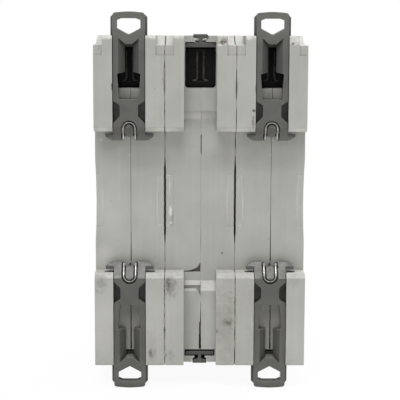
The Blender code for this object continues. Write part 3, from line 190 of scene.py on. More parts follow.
soft_box("overhead_box", place=(0.25, 1.15, 2.2), size=1.7, power=47.0)
soft_box("front_box", place=(-0.4, -0.6, 0.45), size=0.6, power=4.0)


# Case halves: two light grey shells a pole, moulded in filled polyester with a fine spark-eroded skin.
# Their corners are a little soft, as a mould leaves them, and faint draw lines run up and down the ribs.
# Years on a rail have left dust in the joints, brown dirt along them, and rubbed places.
# Painted light is laid into the colour as well: painted shade in crevices, hollows and behind the clips, and
# paler painted light on faces that look up, on downward edges and low on the back.
CASE_COLOUR = (0.43, 0.43, 0.402, 1)
CASE_SHADE = (0.39, 0.39, 0.362, 1)
CASE_RUBBED_AND_LIT = (0.56, 0.555, 0.525, 1)
CASE_EDGE = 0.08 * MM
DUST_AND_SHADE_COLOUR = (0.07, 0.06, 0.047, 1)
SHARPEST_ROUND = radians(40)
SAME_CORNER = 0.001 * MM
SAME_PLANE = radians(0.5)
DRAW_STRETCH = (1.0, 1.0, 0.02)
DRAW_SCALE = 900.0
OUTER_POLES = (-17.8, 17.8)

# Each mark: its middle and its reach, both across, out and up in mm,
# then the scale of its grain, how ragged it is and how strong.
BROWN_DIRT = (0.17, 0.135, 0.1, 1)
BROWN_MARKS = (
    ((-6.4, 5.5, -29.8), (3.6, 2, 17), 650, 1.6, 0.26),
    ((-5.2, 5.5, -29.8), (1.6, 2, 7), 900, 1.8, 0.3),
    ((-7.6, 5.5, -30.0), (1.4, 2, 11), 1100, 2.2, 0.36),
    ((9.0, 5.5, 30.9), (0.6, 2, 6), 1100, 1.2, 0.6),
    ((-8.9, 5.5, 28.9), (0.7, 2, 3.6), 1100, 1.2, 0.55),
    ((-6.2, 5.2, 40.5), (2.6, 2, 1.4), 2200, 2.6, 0.8),
    ((9.0, 5.5, -30.0), (0.5, 2, 16), 1500, 2.4, 0.3),
    ((-8.9, 5.5, -30.0), (0.6, 2, 16), 1500, 2.4, 0.34),
    ((-13.1, 5.5, 20.5), (0.6, 2, 2.4), 2400, 2.4, 0.7),
    ((-12.4, 5.5, -27.0), (3.0, 2, 12), 700, 1.8, 0.1),
    ((12.0, 5.5, -36.0), (2.6, 2, 7), 700, 1.8, 0.14),
)
# Grey marks: dirt on the ribs, and painted shade round the crowns of the lower clips, in a band below the
# upper ribs, in the crescent at the middle pole's lower corner, and on the channel floors seen through the
# clips' windows.
GREY_DIRT_AND_SHADE = (0.12, 0.112, 0.1, 1)
GREY_DIRT_AND_SHADE_MARKS = (
    ((17.0, 0.0, -15.6), (6.6, 2, 4.0), 420, 0.9, 0.12),
    ((-17.8, 0.0, -15.6), (7.4, 2, 4.2), 420, 0.9, 0.14),
    ((15.0, 0.0, 10.4), (10, 2, 4.4), 300, 0.4, 0.2),
    ((-3.5, 0.0, 10.4), (9, 2, 4.4), 300, 0.4, 0.18),
    ((-17.8, 0.0, 10.4), (13, 2, 4.4), 300, 0.4, 0.18),
    ((1.6, -0.8, -17.6), (8, 0.6, 8), 300, 0.1, 0.85),
    ((7.0, 0.0, -4.4), (0.4, 1, 1.7), 1500, 1.2, 0.36),
    ((25.2, 5.5, -20.4), (2.6, 2, 3.4), 900, 2.2, 0.34),
    ((7.4, 5.5, -21.2), (2.4, 2, 4.4), 900, 2.0, 0.5),
    ((12.2, 5.5, -38.6), (1.4, 2, 2.4), 1300, 2.4, 0.4),
    ((-7.0, 5.5, -30.4), (2.2, 2, 1.6), 1200, 2.2, 0.42),
    ((-23.8, 5.5, -20.0), (2.2, 2, 2.6), 1100, 2.2, 0.2),
    ((7.4, 5.5, -38.9), (1.6, 2, 1.8), 1200, 2.4, 0.26),
    *(((x, 2.0, -31.0), (3.9, 1.4, 13.5), 160, 0.1, 0.46) for x in OUTER_POLES),
    *(((x, 2.0, 26.0), (4.2, 1.4, 4.2), 160, 0.1, 0.42) for x in OUTER_POLES),
)
BLACK_DIRT = (0.03, 0.026, 0.022, 1)
BLACK_MARKS = (
    ((10.6, 5.2, 40.7), (0.9, 2, 0.8), 1900, 2.0, 0.7),
    ((-7.4, 5.2, 40.5), (1.0, 2, 1.0), 2600, 2.6, 0.9),
    ((-5.4, 5.2, 40.2), (1.1, 2, 0.7), 2600, 2.6, 0.8),
    ((-24.9, 5.2, 40.7), (0.6, 2, 1.0), 1900, 2.0, 0.8),
    ((-22.7, 5.2, 39.9), (0.6, 2, 0.5), 1900, 2.0, 0.8),
    ((25.2, 5.4, 39.6), (0.2, 2, 2.4), 1500, 0.8, 0.55),
    ((-13.2, 5.5, 23.3), (0.55, 2, 0.55), 1900, 1.2, 0.9),
    ((8.1, 5.5, -20.6), (0.7, 2, 2.6), 1900, 2.4, 0.6),
    ((-7.0, 5.5, -30.6), (1.3, 2, 0.7), 2100, 2.4, 0.4),
    ((-4.4, 5.5, -32.8), (0.45, 2, 0.8), 1900, 1.4, 0.7),
    ((12.5, 5.5, -38.4), (0.6, 2, 1.4), 2100, 2.4, 0.5),
    ((8.9, 5.5, -32.5), (0.5, 2, 0.8), 1300, 0.8, 0.8),
    ((8.6, 5.5, -39.0), (0.5, 2, 0.8), 1900, 1.6, 0.6),
    ((-5.7, 0.0, -13.6), (0.42, 2, 0.42), 600, 0.4, 0.9),
    ((13.95, 5.2, -29.0), (0.5, 2, 1.6), 1600, 1.2, 0.9),
    ((-13.85, 5.2, -29.2), (0.5, 2, 1.5), 1600, 1.2, 0.9),
    ((21.9, 5.2, 29.3), (0.4, 2, 1.6), 1600, 1.2, 0.9),
    ((-13.7, 5.2, 28.8), (0.4, 2, 1.4), 1600, 1.2, 0.8),
)
# Pale marks: a few rubbed spots on the recess, and painted light on the downward lower edges of the upper
# ribs, on the middle pole's ledge and slopes, and lighter towards the bottom of the lower ribs and recess.
RUBBED_AND_LIT_MARKS = (
    ((17.7, 0.0, 11.7), (0.55, 2, 0.7), 900, 0.5, 0.8),
    ((-17.8, 0.0, 11.8), (0.55, 2, 0.7), 900, 0.5, 0.8),
    ((25.1, 0.0, 15.4), (0.9, 2, 0.6), 900, 0.5, 0.8),
    ((-2.8, 2.6, -21.8), (4.6, 3, 2.8), 600, 0.5, 0.95),
    ((-2.8, 2.0, -30.5), (4.6, 1.4, 13), 300, 0.4, 0.62),
    ((0.0, 1.0, 21.4), (7.0, 3, 1.9), 400, 0.4, 0.9),
    *(((x, 5.1, 18.3), (5.6, 1.4, 1.2), 900, 1.0, 0.95) for x in (-8.9, 8.9)),
    *(((x, 5.1, 18.3), (3.4, 1.4, 1.2), 900, 1.0, 0.95) for x in (-24.4, 24.4)),
    ((24.4, 5.5, -31.0), (5.0, 1.4, 16), 300, 0.4, 0.48),
    ((11.0, 5.5, -31.0), (7.0, 1.4, 14), 300, 0.4, 0.24),
    ((-24.4, 5.5, -31.0), (5.0, 1.4, 14), 300, 0.4, 0.14),
    ((23.0, 0.0, -2.0), (6.0, 1.4, 14), 200, 0.4, 0.34),
    ((13.0, 0.0, -2.0), (4.6, 1.4, 11), 200, 0.4, 0.24),
    ((24.4, 0.0, -15.6), (4.0, 1.4, 7.0), 300, 0.4, 0.6),
)
# Paler marks: scrapes with painted top light on the rims along the tops of the ribs, and scraped lines in the
# recess.
SCRAPED_AND_LIT_PALE = (0.74, 0.735, 0.71, 1)
SCRAPED_AND_LIT_MARKS = (
    ((23.2, 5.3, 41.5), (2.6, 2, 1.1), 1500, 1.2, 0.85),
    ((11.4, 5.3, 41.5), (3.4, 2, 1.0), 1500, 1.2, 0.85),
    ((6.2, 5.3, 41.6), (3.2, 2, 0.9), 1500, 1.4, 0.6),
    ((-6.3, 5.3, 40.7), (3.4, 2, 1.7), 1100, 2.2, 0.8),
    ((-11.4, 5.3, 41.4), (3.4, 2, 1.1), 1500, 1.4, 0.8),
    ((-23.6, 5.3, 40.7), (2.8, 2, 1.6), 1100, 2.0, 0.8),
    ((-4.6, 5.5, 39.5), (0.9, 1.5, 0.45), 1500, 1.0, 0.9),
    ((7.7, 0.0, 3.6), (0.45, 1, 3.6), 1300, 1.6, 0.32),
    ((7.5, 0.0, -2.9), (0.6, 1, 2.2), 1500, 1.8, 0.95),
    ((7.49, 0.0, -5.8), (0.4, 1, 0.4), 1500, 0.8, 0.9),
    ((10.95, 0.0, 0.0), (0.2, 1, 7.5), 1200, 0.9, 0.5),
    ((10.1, 0.0, -6.45), (1.1, 1, 0.3), 1500, 0.8, 0.7),
    ((8.1, 0.0, -6.45), (0.6, 1, 0.35), 1500, 0.8, 0.7),
    ((8.1, 0.0, 6.4), (0.7, 1, 0.3), 1500, 0.8, 0.5),
    ((-10.95, 0.0, -0.8), (0.2, 1, 6.6), 1200, 0.9, 0.5),
    ((-10.2, 0.0, -6.45), (0.9, 1, 0.3), 1500, 0.8, 0.6),
    *(((x, 0.0, 0.0), (0.2, 1, 7.5), 1200, 0.9, 0.4) for x in (-24.65, -6.85, 24.65)),
)


def new_group(name, inputs, outputs):
    """An empty shader node group with number outputs: its tree, its inputs and its outputs."""
    tree = bpy.data.node_groups.new(name, "ShaderNodeTree")
    for label, value in inputs.items():
        kind = "NodeSocketVector" if isinstance(value, tuple) else "NodeSocketFloat"
        tree.interface.new_socket(label, in_out="INPUT", socket_type=kind).default_value = value
    for label in outputs:
        tree.interface.new_socket(label, in_out="OUTPUT", socket_type="NodeSocketFloat")
    return tree, tree.nodes.new("NodeGroupInput").outputs, tree.nodes.new("NodeGroupOutput").inputs


def place_group(tree, group, **inputs):
    """The outputs of a node group placed in a material with its own values."""
    made = tree.nodes.new("ShaderNodeGroup")
    made.node_tree = group
    for name, value in inputs.items():
        made.inputs[name].default_value = value
    return made.outputs


def noise(tree, place, scale, detail=3.0):
    """The value of a noise at a place."""
    return add_node(
        tree, "ShaderNodeTexNoise", {"Vector": place, "Scale": scale, "Detail": detail}
    ).outputs[0]


def fade(tree, value, low, high, start=0.0, end=1.0):
    """A value brought smoothly from one range to another."""
    return add_node(
        tree,
        "ShaderNodeMapRange",
        {"Value": value, "From Min": low, "From Max": high, "To Min": start, "To Max": end},
        interpolation_type="SMOOTHSTEP",
    ).outputs["Result"]


def make_skin_group():
    """The moulded skin: a fine grain for the bump, slow clouds for the colour, and draw lines."""
    inputs = {"Grain": 4000.0, "Cloud": 160.0}
    tree, given, result = new_group("moulded_skin", inputs, ("Height", "Cloud", "Draw"))
    spot = spot_on(tree)
    stretched = vector_calc(tree, "MULTIPLY", spot, DRAW_STRETCH)[0]
    tree.links.new(noise(tree, spot, given["Grain"]), result["Height"])
    tree.links.new(noise(tree, spot, given["Cloud"], 4.0), result["Cloud"])
    tree.links.new(noise(tree, stretched, DRAW_SCALE, 2.0), result["Draw"])
    return tree


def make_crevice_group():
    """Dust and painted shade where faces meet: dark in narrow gaps and hollows, where shade falls, broken up
    by noise.
    """
    inputs = {"Reach": 0.001, "Patch": 600.0, "Amount": 1.0}
    tree, given, result = new_group("crevice_dust_and_shade", inputs, ("Mask",))
    shelter = add_node(tree, "ShaderNodeAmbientOcclusion", {"Distance": given["Reach"]}, samples=8)
    hidden = calc(tree, "POWER", calc(tree, "SUBTRACT", 1.0, shelter.outputs["AO"]), 1.6)
    patches = calc(tree, "ADD", noise(tree, spot_on(tree), given["Patch"]), 0.3)
    uneven = calc(tree, "MULTIPLY", hidden, patches)
    tree.links.new(calc(tree, "MULTIPLY", uneven, given["Amount"], clamp=True), result["Mask"])
    return tree


def make_edge_group():
    """Rubbed edges: where a rounded normal leaves the face's own, broken up by noise."""
    inputs = {"Width": 0.0003, "Patch": 500.0, "Amount": 1.0}
    tree, given, result = new_group("rubbed_edges", inputs, ("Mask",))
    rounded = add_node(tree, "ShaderNodeBevel", {"Radius": given["Width"]}, samples=4)
    face = add_node(tree, "ShaderNodeNewGeometry").outputs["True Normal"]
    same = vector_calc(tree, "DOT_PRODUCT", rounded.outputs[0], face)["Value"]
    leaves = calc(tree, "MULTIPLY", calc(tree, "SUBTRACT", 1.0, same), 5.0, clamp=True)
    patches = calc(tree, "ADD", noise(tree, spot_on(tree), given["Patch"], 2.0), 0.2)
    broken = calc(tree, "MULTIPLY", leaves, patches)
    tree.links.new(calc(tree, "MULTIPLY", broken, given["Amount"], clamp=True), result["Mask"])
    return tree


def make_mark_group():
    """One mark on the surface: full at its middle, ragged and thin towards its reach."""
    inputs = {
        "Middle": (0.0, 0.0, 0.0),
        "Reach": (0.001, 0.001, 0.001),
        "Patch": 600.0,
        "Ragged": 1.0,
        "Amount": 1.0,
    }
    tree, given, result = new_group("dirt_mark", inputs, ("Mask",))
    spot = spot_on(tree)
    off = vector_calc(tree, "SUBTRACT", spot, given["Middle"])[0]
    scaled = vector_calc(tree, "DIVIDE", off, given["Reach"])[0]
    away = vector_calc(tree, "LENGTH", scaled)["Value"]
    near = calc(tree, "SUBTRACT", 1.0, away)
    rough = calc(tree, "SUBTRACT", noise(tree, spot, given["Patch"], 5.0), 0.5)
    ragged = calc(tree, "ADD", near, calc(tree, "MULTIPLY", rough, given["Ragged"]))
    held = calc(tree, "MULTIPLY", fade(tree, ragged, 0.0, 0.9), fade(tree, near, 0.0, 0.35))
    tree.links.new(calc(tree, "MULTIPLY", held, given["Amount"]), result["Mask"])
    return tree


def make_top_light_group():
    """Painted top light: a paler colour on faces that look up, thin and uneven."""
    tree, given, result = new_group("painted_top_light", {"Patch": 700.0, "Amount": 0.5}, ("Mask",))
    face = add_node(tree, "ShaderNodeNewGeometry").outputs["Normal"]
    upward = fade(tree, add_node(tree, "ShaderNodeSeparateXYZ", {"Vector": face}).outputs["Z"], 0.2, 0.75)
    patches = fade(tree, noise(tree, spot_on(tree), given["Patch"], 4.0), 0.2, 0.7)
    uneven = calc(tree, "MULTIPLY", upward, patches)
    tree.links.new(calc(tree, "MULTIPLY", uneven, given["Amount"]), result["Mask"])
    return tree


def make_speck_group():
    """Fine specks scattered over a surface, each a small round dot of its own size."""
    inputs = {"Scale": 700.0, "Share": 0.1, "Amount": 1.0}
    tree, given, result = new_group("dirt_specks", inputs, ("Mask",))
    cells = add_node(tree, "ShaderNodeTexVoronoi", {"Vector": spot_on(tree), "Scale": given["Scale"]})
    chance = add_node(tree, "ShaderNodeSeparateColor", {"Color": cells.outputs["Color"]}).outputs[0]
    chosen = calc(tree, "LESS_THAN", chance, given["Share"])
    dot = fade(tree, cells.outputs["Distance"], 0.04, 0.2, 1.0, 0.0)
    dots = calc(tree, "MULTIPLY", chosen, dot)
    tree.links.new(calc(tree, "MULTIPLY", dots, given["Amount"]), result["Mask"])
    return tree


moulded_skin = make_skin_group()
crevice_dust_and_shade = make_crevice_group()
rubbed_edges = make_edge_group()
dirt_mark = make_mark_group()
painted_top_light = make_top_light_group()
dirt_specks = make_speck_group()


def lay_over(tree, mask, under, over):
    """A colour laid over another by a mask, each a socket or a value."""
    return add_node(tree, "ShaderNodeMix", {0: mask, 6: under, 7: over}, data_type="RGBA").outputs[2]


def lay_group(tree, under, over, group, **inputs):
    """A colour laid over another by the mask of a node group."""
    return lay_over(tree, place_group(tree, group, **inputs)["Mask"], under, over)


def cloud_over(tree, skin, first, second, low=0.3, high=0.7):
    """A colour that turns to another in the slow clouds of a skin."""
    return lay_over(tree, fade(tree, skin["Cloud"], low, high), first, second)


def sheen(tree, skin, smoothest, roughest, low=0.2, high=0.8):
    """A roughness that changes with the clouds of a skin."""
    return fade(tree, skin["Cloud"], low, high, smoothest, roughest)


def lay_marks(tree, under, marks, colour):
    """A colour laid over another by a list of marks."""
    whole = None
    for middle, reach, patch, ragged, amount in marks:
        extent = {"Middle": Vector(middle) * MM, "Reach": Vector(reach) * MM}
        placed = place_group(tree, dirt_mark, **extent, Patch=patch, Ragged=ragged, Amount=amount)
        whole = placed["Mask"] if whole is None else calc(tree, "MAXIMUM", whole, placed["Mask"])
    return lay_over(tree, whole, under, colour)


def new_material(name, gloss=0.5, metal=0.0):
    """A material with one Principled shader: it, its tree and that shader."""
    made = bpy.data.materials.new(name)
    made.use_nodes = True
    shader = made.node_tree.nodes["Principled BSDF"]
    shader.inputs["Specular IOR Level"].default_value = gloss
    shader.inputs["Metallic"].default_value = metal
    return made, made.node_tree, shader


def connect(tree, shader, colour, roughness, height, depth):
    """A colour, a roughness and a bump of a real depth joined to the shader."""
    bump = add_node(tree, "ShaderNodeBump", {"Height": height, "Distance": depth, "Strength": 1.0})
    tree.links.new(colour, shader.inputs["Base Color"])
    tree.links.new(roughness, shader.inputs["Roughness"])
    tree.links.new(bump.outputs[0], shader.inputs["Normal"])


def make_smooth_group():
    """Smooth shading everywhere but across sharp edges."""
    tree = bpy.data.node_groups.new("smooth_rounds", "GeometryNodeTree")
    tree.interface.new_socket("Mesh", in_out="INPUT", socket_type="NodeSocketGeometry")
    tree.interface.new_socket("Mesh", in_out="OUTPUT", socket_type="NodeSocketGeometry")
    shape = tree.nodes.new("NodeGroupInput").outputs[0]
    angle = add_node(tree, "GeometryNodeInputMeshEdgeAngle").outputs["Unsigned Angle"]
    gentle = add_node(tree, "FunctionNodeCompare", {"A": angle, "B": SHARPEST_ROUND}, operation="LESS_THAN")
    for domain, smooth in (("FACE", True), ("EDGE", gentle.outputs[0])):
        inputs = {"Geometry": shape, "Shade Smooth": smooth}
        shape = add_node(tree, "GeometryNodeSetShadeSmooth", inputs, domain=domain).outputs[0]
    tree.links.new(shape, tree.nodes.new("NodeGroupOutput").inputs[0])
    return tree


smooth_rounds = make_smooth_group()


def finish_node(name, material, edge):
    """A CAD node's finish: its flat faces joined, its edges softened by a width and its rounds smooth."""
    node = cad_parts[name]
    for slot in node.material_slots:
        slot.material = material
    node.modifiers.new("joined_corners", "WELD").merge_threshold = SAME_CORNER
    flat = node.modifiers.new("flat_faces", "DECIMATE")
    flat.decimate_type = "DISSOLVE"
    flat.angle_limit = SAME_PLANE
    node.modifiers.new("plain_facets", "TRIANGULATE")
    soft = node.modifiers.new("soft_edges", "BEVEL")
    soft.width = edge
    soft.segments = 2
    soft.angle_limit = SHARPEST_ROUND
    soft.use_clamp_overlap = False
    node.modifiers.new("smooth_rounds", "NODES").node_group = smooth_rounds
    node.modifiers.new("flat_shading", "WEIGHTED_NORMAL").keep_sharp = True


case_plastic, tree, shader = new_material("case_plastic", gloss=0.3)
skin = place_group(tree, moulded_skin, Grain=5200.0, Cloud=130.0)
clouded = cloud_over(tree, skin, CASE_COLOUR, CASE_SHADE)
drawn = lay_over(tree, fade(tree, skin["Draw"], 0.45, 0.75, 0.0, 0.12), clouded, CASE_RUBBED_AND_LIT)
rubbed = lay_group(tree, drawn, CASE_RUBBED_AND_LIT, rubbed_edges, Width=0.0003, Patch=300.0, Amount=0.55)
# Rubbed spots, and painted light on downward edges, ledges and the lower back.
rubbed = lay_marks(tree, rubbed, RUBBED_AND_LIT_MARKS, CASE_RUBBED_AND_LIT)
# Scrapes, with painted top light on the rims of the ribs.
scraped_and_lit = lay_marks(tree, rubbed, SCRAPED_AND_LIT_MARKS, SCRAPED_AND_LIT_PALE)
# Painted top light: faces that look up are laid paler.
top_lit = lay_group(tree, scraped_and_lit, CASE_RUBBED_AND_LIT, painted_top_light, Patch=1500.0, Amount=0.7)
speckled = lay_group(tree, top_lit, BROWN_DIRT, dirt_specks, Scale=620.0, Share=0.05, Amount=0.35)
browned = lay_marks(tree, speckled, BROWN_MARKS, BROWN_DIRT)
# Grey dirt, with painted shade in hollows and behind the clips.
greyed = lay_marks(tree, browned, GREY_DIRT_AND_SHADE_MARKS, GREY_DIRT_AND_SHADE)
blackened = lay_marks(tree, greyed, BLACK_MARKS, BLACK_DIRT)
# Dust and painted shade in crevices and narrow gaps.
in_crevices = lay_group(tree, blackened, DUST_AND_SHADE_COLOUR, crevice_dust_and_shade, Reach=0.0007, Patch=420.0, Amount=0.95)
connect(tree, shader, in_crevices, sheen(tree, skin, 0.48, 0.66), skin["Height"], 0.012 * MM)
for pole in (1, 2, 3):
    for side in ("left", "right"):
        finish_node(f"case_{side}_{pole}", case_plastic, CASE_EDGE)


# Locating pads: low flat pads moulded with the case beside the poles' joints, in the middle of the recess.
# They are the case's own plastic, about a tenth of a millimetre proud, with edges rubbed pale by the rail.
PAD_PLACE = 7.62 * MM
PAD_WIDTH = 1.6 * MM
PAD_HEIGHT = 13.0 * MM
PAD_PROUD = 0.09 * MM
PAD_CORNER = 0.25 * MM
POLE_PITCH = 17.8 * MM


def pole_middle(pole):
    """How far across the middle of a pole lies."""
    return (pole - 2) * POLE_PITCH


def add_piece(name, shape, material, body):
    """A smooth mesh piece of the object with its finish, moving with a body."""
    mesh = bpy.data.meshes.new(name)
    points, faces = shape
    mesh.from_pydata(points, [], faces)
    mesh.materials.append(material)
    mesh.shade_smooth()
    piece = bpy.data.objects.new(name, mesh)
    bpy.context.scene.collection.objects.link(piece)
    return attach(piece, body)


def plate_shape(place, across, up, width, height, proud, corner, sunk=0.05 * MM):
    """A thin plate with round corners and a soft rim, lying on a face: its points and faces."""
    out = across.cross(up)
    turns = [(quarter + step / 4) * pi / 2 for quarter in range(4) for step in range(5)]
    points, faces = [], []
    for inset, lift in ((0.0, -sunk), (0.0, 0.3 * proud), (0.3 * proud, 0.8 * proud), (proud, proud)):
        for index, turn in enumerate(turns):
            right = 1 if index // 5 in (0, 3) else -1
            over = 1 if index // 5 in (0, 1) else -1
            sideways = right * (width / 2 - corner) + (corner - inset) * cos(turn)
            upward = over * (height / 2 - corner) + (corner - inset) * sin(turn)
            points.append(place + across * sideways + up * upward + out * lift)
    count = len(turns)
    for ring in range(3):
        for index in range(count):
            after = (index + 1) % count
            low, high = ring * count, (ring + 1) * count
            faces.append((low + index, low + after, high + after, high + index))
    faces.append(tuple(range(3 * count, 4 * count)))
    faces.append(tuple(reversed(range(count))))
    return points, faces


def join_shapes(shapes):
    """Several shapes as one: its points and faces."""
    points, faces = [], []
    for more, sides in shapes:
        faces += [tuple(index + len(points) for index in side) for side in sides]
        points += more
    return points, faces


pads = []
for pole in (1, 2, 3):
    for side in (-1, 1):
        place = Vector((pole_middle(pole) + side * PAD_PLACE, 0, 0))
        across, up = Vector((-1, 0, 0)), Vector((0, 0, 1))
        pads.append(plate_shape(place, across, up, PAD_WIDTH, PAD_HEIGHT, PAD_PROUD, PAD_CORNER))
add_piece("locating_pads", join_shapes(pads), case_plastic, "case")


# Packed dust: a soft brown-grey felt in the joints between the poles and along the seams of their halves.
# It is broken and uneven, and black where it is packed hardest, in the seams; low in the middle pole's slot
# the black is painted shade beside a step.
# In the middle pole a thin flash of the case's plastic, left by the mould, closes most of the seam.
JOINT_PLACE = 8.9 * MM
JOINT_HALF = 0.07
JOINT_UPPER = ((4.28, 17.97), (5.42, 19.1), (5.42, 36.88), (5.07, 36.95), (5.07, 39.35))
JOINT_LOWER = ((5.42, 41.4), (5.42, 19.1), (4.28, 17.97))
JOINT_DEPTH = 4.2 * MM
JOINT_PALE = (0.5, 0.46, 0.4, 1)
JOINT_DARK = (0.06, 0.05, 0.042, 1)
RECESS_LINE = ((-0.06, 11.2), (-0.06, 17.9))
RECESS_DEPTH = 2.4 * MM
RECESS_PALE = (0.47, 0.455, 0.42, 1)
RECESS_DARK = (0.3, 0.28, 0.25, 1)
SEAM_BLACK = (0.02, 0.018, 0.016, 1)
SEAM_GRAIN = (0.08, 0.072, 0.062, 1)
SEAM_PLACE = -0.25 * MM
SEAM_FLOOR = 2.0
SEAM_PROUD = 0.015
SEAM_DEPTH = 0.05 * MM
FLASH_RADIUS = 0.05 * MM
FLASH_SUNK = 0.03 * MM
FLASH_LINES = {
    "seam_flash_channel": ((2.0, 28.5), (2.0, 23.0), (0.0, 20.7), (0.0, 17.0)),
    "seam_flash_upper": ((0.0, 11.4), (0.0, -7.4)),
    "seam_flash_lower": ((0.0, -12.2), (0.0, -20.7), (2.0, -23.0), (2.0, -28.4)),
}


def wire_shape(path, radius, sides=16):
    """A round wire along a path, with domed ends: its points and faces."""
    last = len(path) - 1
    steps = [path[min(index + 1, last)] - path[max(index - 1, 0)] for index in range(last + 1)]
    ahead = [step.normalized() for step in steps]
    side = ahead[0].orthogonal().normalized()
    rings = []
    for place, along in zip(path, ahead):
        side = (side - along * side.dot(along)).normalized()
        rings.append((place, along, side, radius))
    domes = []
    for (place, along, side, _), outward in ((rings[0], -1), (rings[-1], 1)):
        for tilt in (0.45, 0.9, 1.4):
            domes.append((place + outward * along * radius * sin(tilt), along, side, radius * cos(tilt)))
    rings = domes[2::-1] + rings + domes[3:]
    points = [
        place + (side * cos(turn) + along.cross(side) * sin(turn)) * reach
        for place, along, side, reach in rings
        for turn in [2 * pi * step / sides for step in range(sides)]
    ]
    faces = []
    for ring in range(len(rings) - 1):
        for step in range(sides):
            after = (step + 1) % sides
            low, high = ring * sides, (ring + 1) * sides
            faces.append((low + step, low + after, high + after, high + step))
    faces.append(tuple(reversed(range(sides))))
    faces.append(tuple(range(len(points) - sides, len(points))))
    return points, faces


def strip_shape(across, depth, stations, steps=24):
    """A wavy strip along stations of out, up and half width in mm: its points and faces."""
    rows = []
    for start, end in zip(stations, stations[1:]):
        rows += [Vector(start).lerp(Vector(end), step / steps) * MM for step in range(steps)]
    rows.append(Vector(stations[-1]) * MM)
    points, faces = [], []
    for index, (out, up, half) in enumerate(rows):
        part = index / (len(rows) - 1)
        middle = across + 0.12 * half * sin(17 * part * pi) + 0.08 * half * sin(41 * part * pi)
        for side, back in ((-1, depth), (1, depth), (1, 0.0), (-1, 0.0)):
            points.append(Vector((middle + side * half, out - back, up)))
    for below in range(0, 4 * len(rows) - 4, 4):
        for side in range(4):
            after = (side + 1) % 4
            faces.append((below + side, below + after, below + 4 + after, below + 4 + side))
    faces += [(3, 2, 1, 0), tuple(range(len(points) - 4, len(points)))]
    return points, faces


def make_felt(name, grain, cloud, first, second, low, high, depth):
    """Felted dust, quite matt, of two colours in clouds."""
    made, tree, shader = new_material(name, gloss=0.1)
    skin = place_group(tree, moulded_skin, Grain=grain, Cloud=cloud)
    tone = cloud_over(tree, skin, first, second, low, high)
    roughness = fade(tree, skin["Height"], 0.2, 0.8, 0.8, 0.95)
    connect(tree, shader, tone, roughness, skin["Height"], depth)
    return made


joint_dust = make_felt("joint_dust", 6000.0, 420.0, JOINT_PALE, JOINT_DARK, 0.37, 0.64, 0.03 * MM)
recess_dust = make_felt("recess_dust", 6000.0, 420.0, RECESS_PALE, RECESS_DARK, 0.37, 0.64, 0.03 * MM)
seam_dirt = make_felt("seam_dirt", 7000.0, 900.0, SEAM_BLACK, SEAM_GRAIN, 0.4, 0.75, 0.02 * MM)
for number, joint in ((1, -JOINT_PLACE), (2, JOINT_PLACE)):
    for name, upward, line, depth, dust in (
        ("joint_dust_upper", 1, JOINT_UPPER, JOINT_DEPTH, joint_dust),
        ("joint_dust_lower", -1, JOINT_LOWER, JOINT_DEPTH, joint_dust),
        ("recess_dust_upper", 1, RECESS_LINE, RECESS_DEPTH, joint_dust),
        ("recess_dust_lower", -1, RECESS_LINE[::-1], RECESS_DEPTH, recess_dust),
    ):
        shape = strip_shape(joint, depth, [(out, upward * up, JOINT_HALF) for out, up in line])
        add_piece(f"{name}_{number}", shape, dust, "case")
for name, pole, aside, out, low, high, halves in (
    ("seam_dirt_slot_1", 1, 0.0, SEAM_FLOOR, -38.2, -24.6, (0.21, 0.07)),
    # Painted shade beside a step at the seam, widening downwards.
    ("seam_shade_slot_2", 2, 0.16, SEAM_FLOOR, -38.2, -31.2, (0.31, 0.19)),
    ("seam_dirt_slot_upper_2", 2, 0.02, SEAM_FLOOR, -31.2, -26.0, (0.12, 0.04)),
    ("seam_dirt_slot_3", 3, 0.0, SEAM_FLOOR, -38.2, -24.6, (0.21, 0.07)),
    ("seam_dirt_recess_1", 1, 0.0, 0.0, -15.6, -4.0, (0.13, 0.05)),
    ("seam_dirt_recess_2", 2, 0.0, 0.0, 12.0, 16.8, (0.1, 0.12)),
    ("seam_dirt_recess_3", 3, 0.0, 0.0, -15.6, -8.0, (0.13, 0.05)),
):
    across = pole_middle(pole) + SEAM_PLACE + aside * MM
    ends = [(out + SEAM_PROUD, up, half) for up, half in ((low, halves[0]), (high, halves[1]))]
    add_piece(name, strip_shape(across, SEAM_DEPTH, ends), seam_dirt, "case")
for name, line in FLASH_LINES.items():
    path = [Vector((SEAM_PLACE, out * MM - FLASH_SUNK, up * MM)) for out, up in line]
    add_piece(name, wire_shape(path, FLASH_RADIUS, 8), case_plastic, "case")


# Joint lips: a thin bead of the case's plastic along each side of a joint at the middle of the rail recess.
# They keep the joint narrow where the flanks are dished, and are scraped pale.
LIP_PLACE = 0.46 * MM
LIP_DEPTH = 1.5 * MM
LIP_STATIONS = ((0.02, -8.7, 0.21), (0.02, 8.7, 0.21))
for number, joint in ((1, -JOINT_PLACE), (2, JOINT_PLACE)):
    for name, side in (("right", -1), ("left", 1)):
        shape = strip_shape(joint + side * LIP_PLACE, LIP_DEPTH, LIP_STATIONS, 48)
        add_piece(f"joint_lip_{name}_{number}", shape, case_plastic, "case")


# Contacts: a fixed contact with its terminal tongue and a swinging arm in each pole, of stamped copper.
# The strip keeps fine rolling lines, and years of warmth have turned it brown in clouds.
COPPER_BRIGHT = (0.74, 0.38, 0.24, 1)
COPPER_BROWN = (0.36, 0.17, 0.1, 1)
SOOT_COLOUR = (0.02, 0.018, 0.017, 1)
SOOT_MARKS = tuple(
    ((x + aside, -26.0, 38.5), (1.6, 12.0, 3.0), 600, 0.4, 1.0)
    for x in (-17.8, 0.0, 17.8)
    for aside in (-4.4, 4.4)
)
STAMPED_EDGE = 0.08 * MM


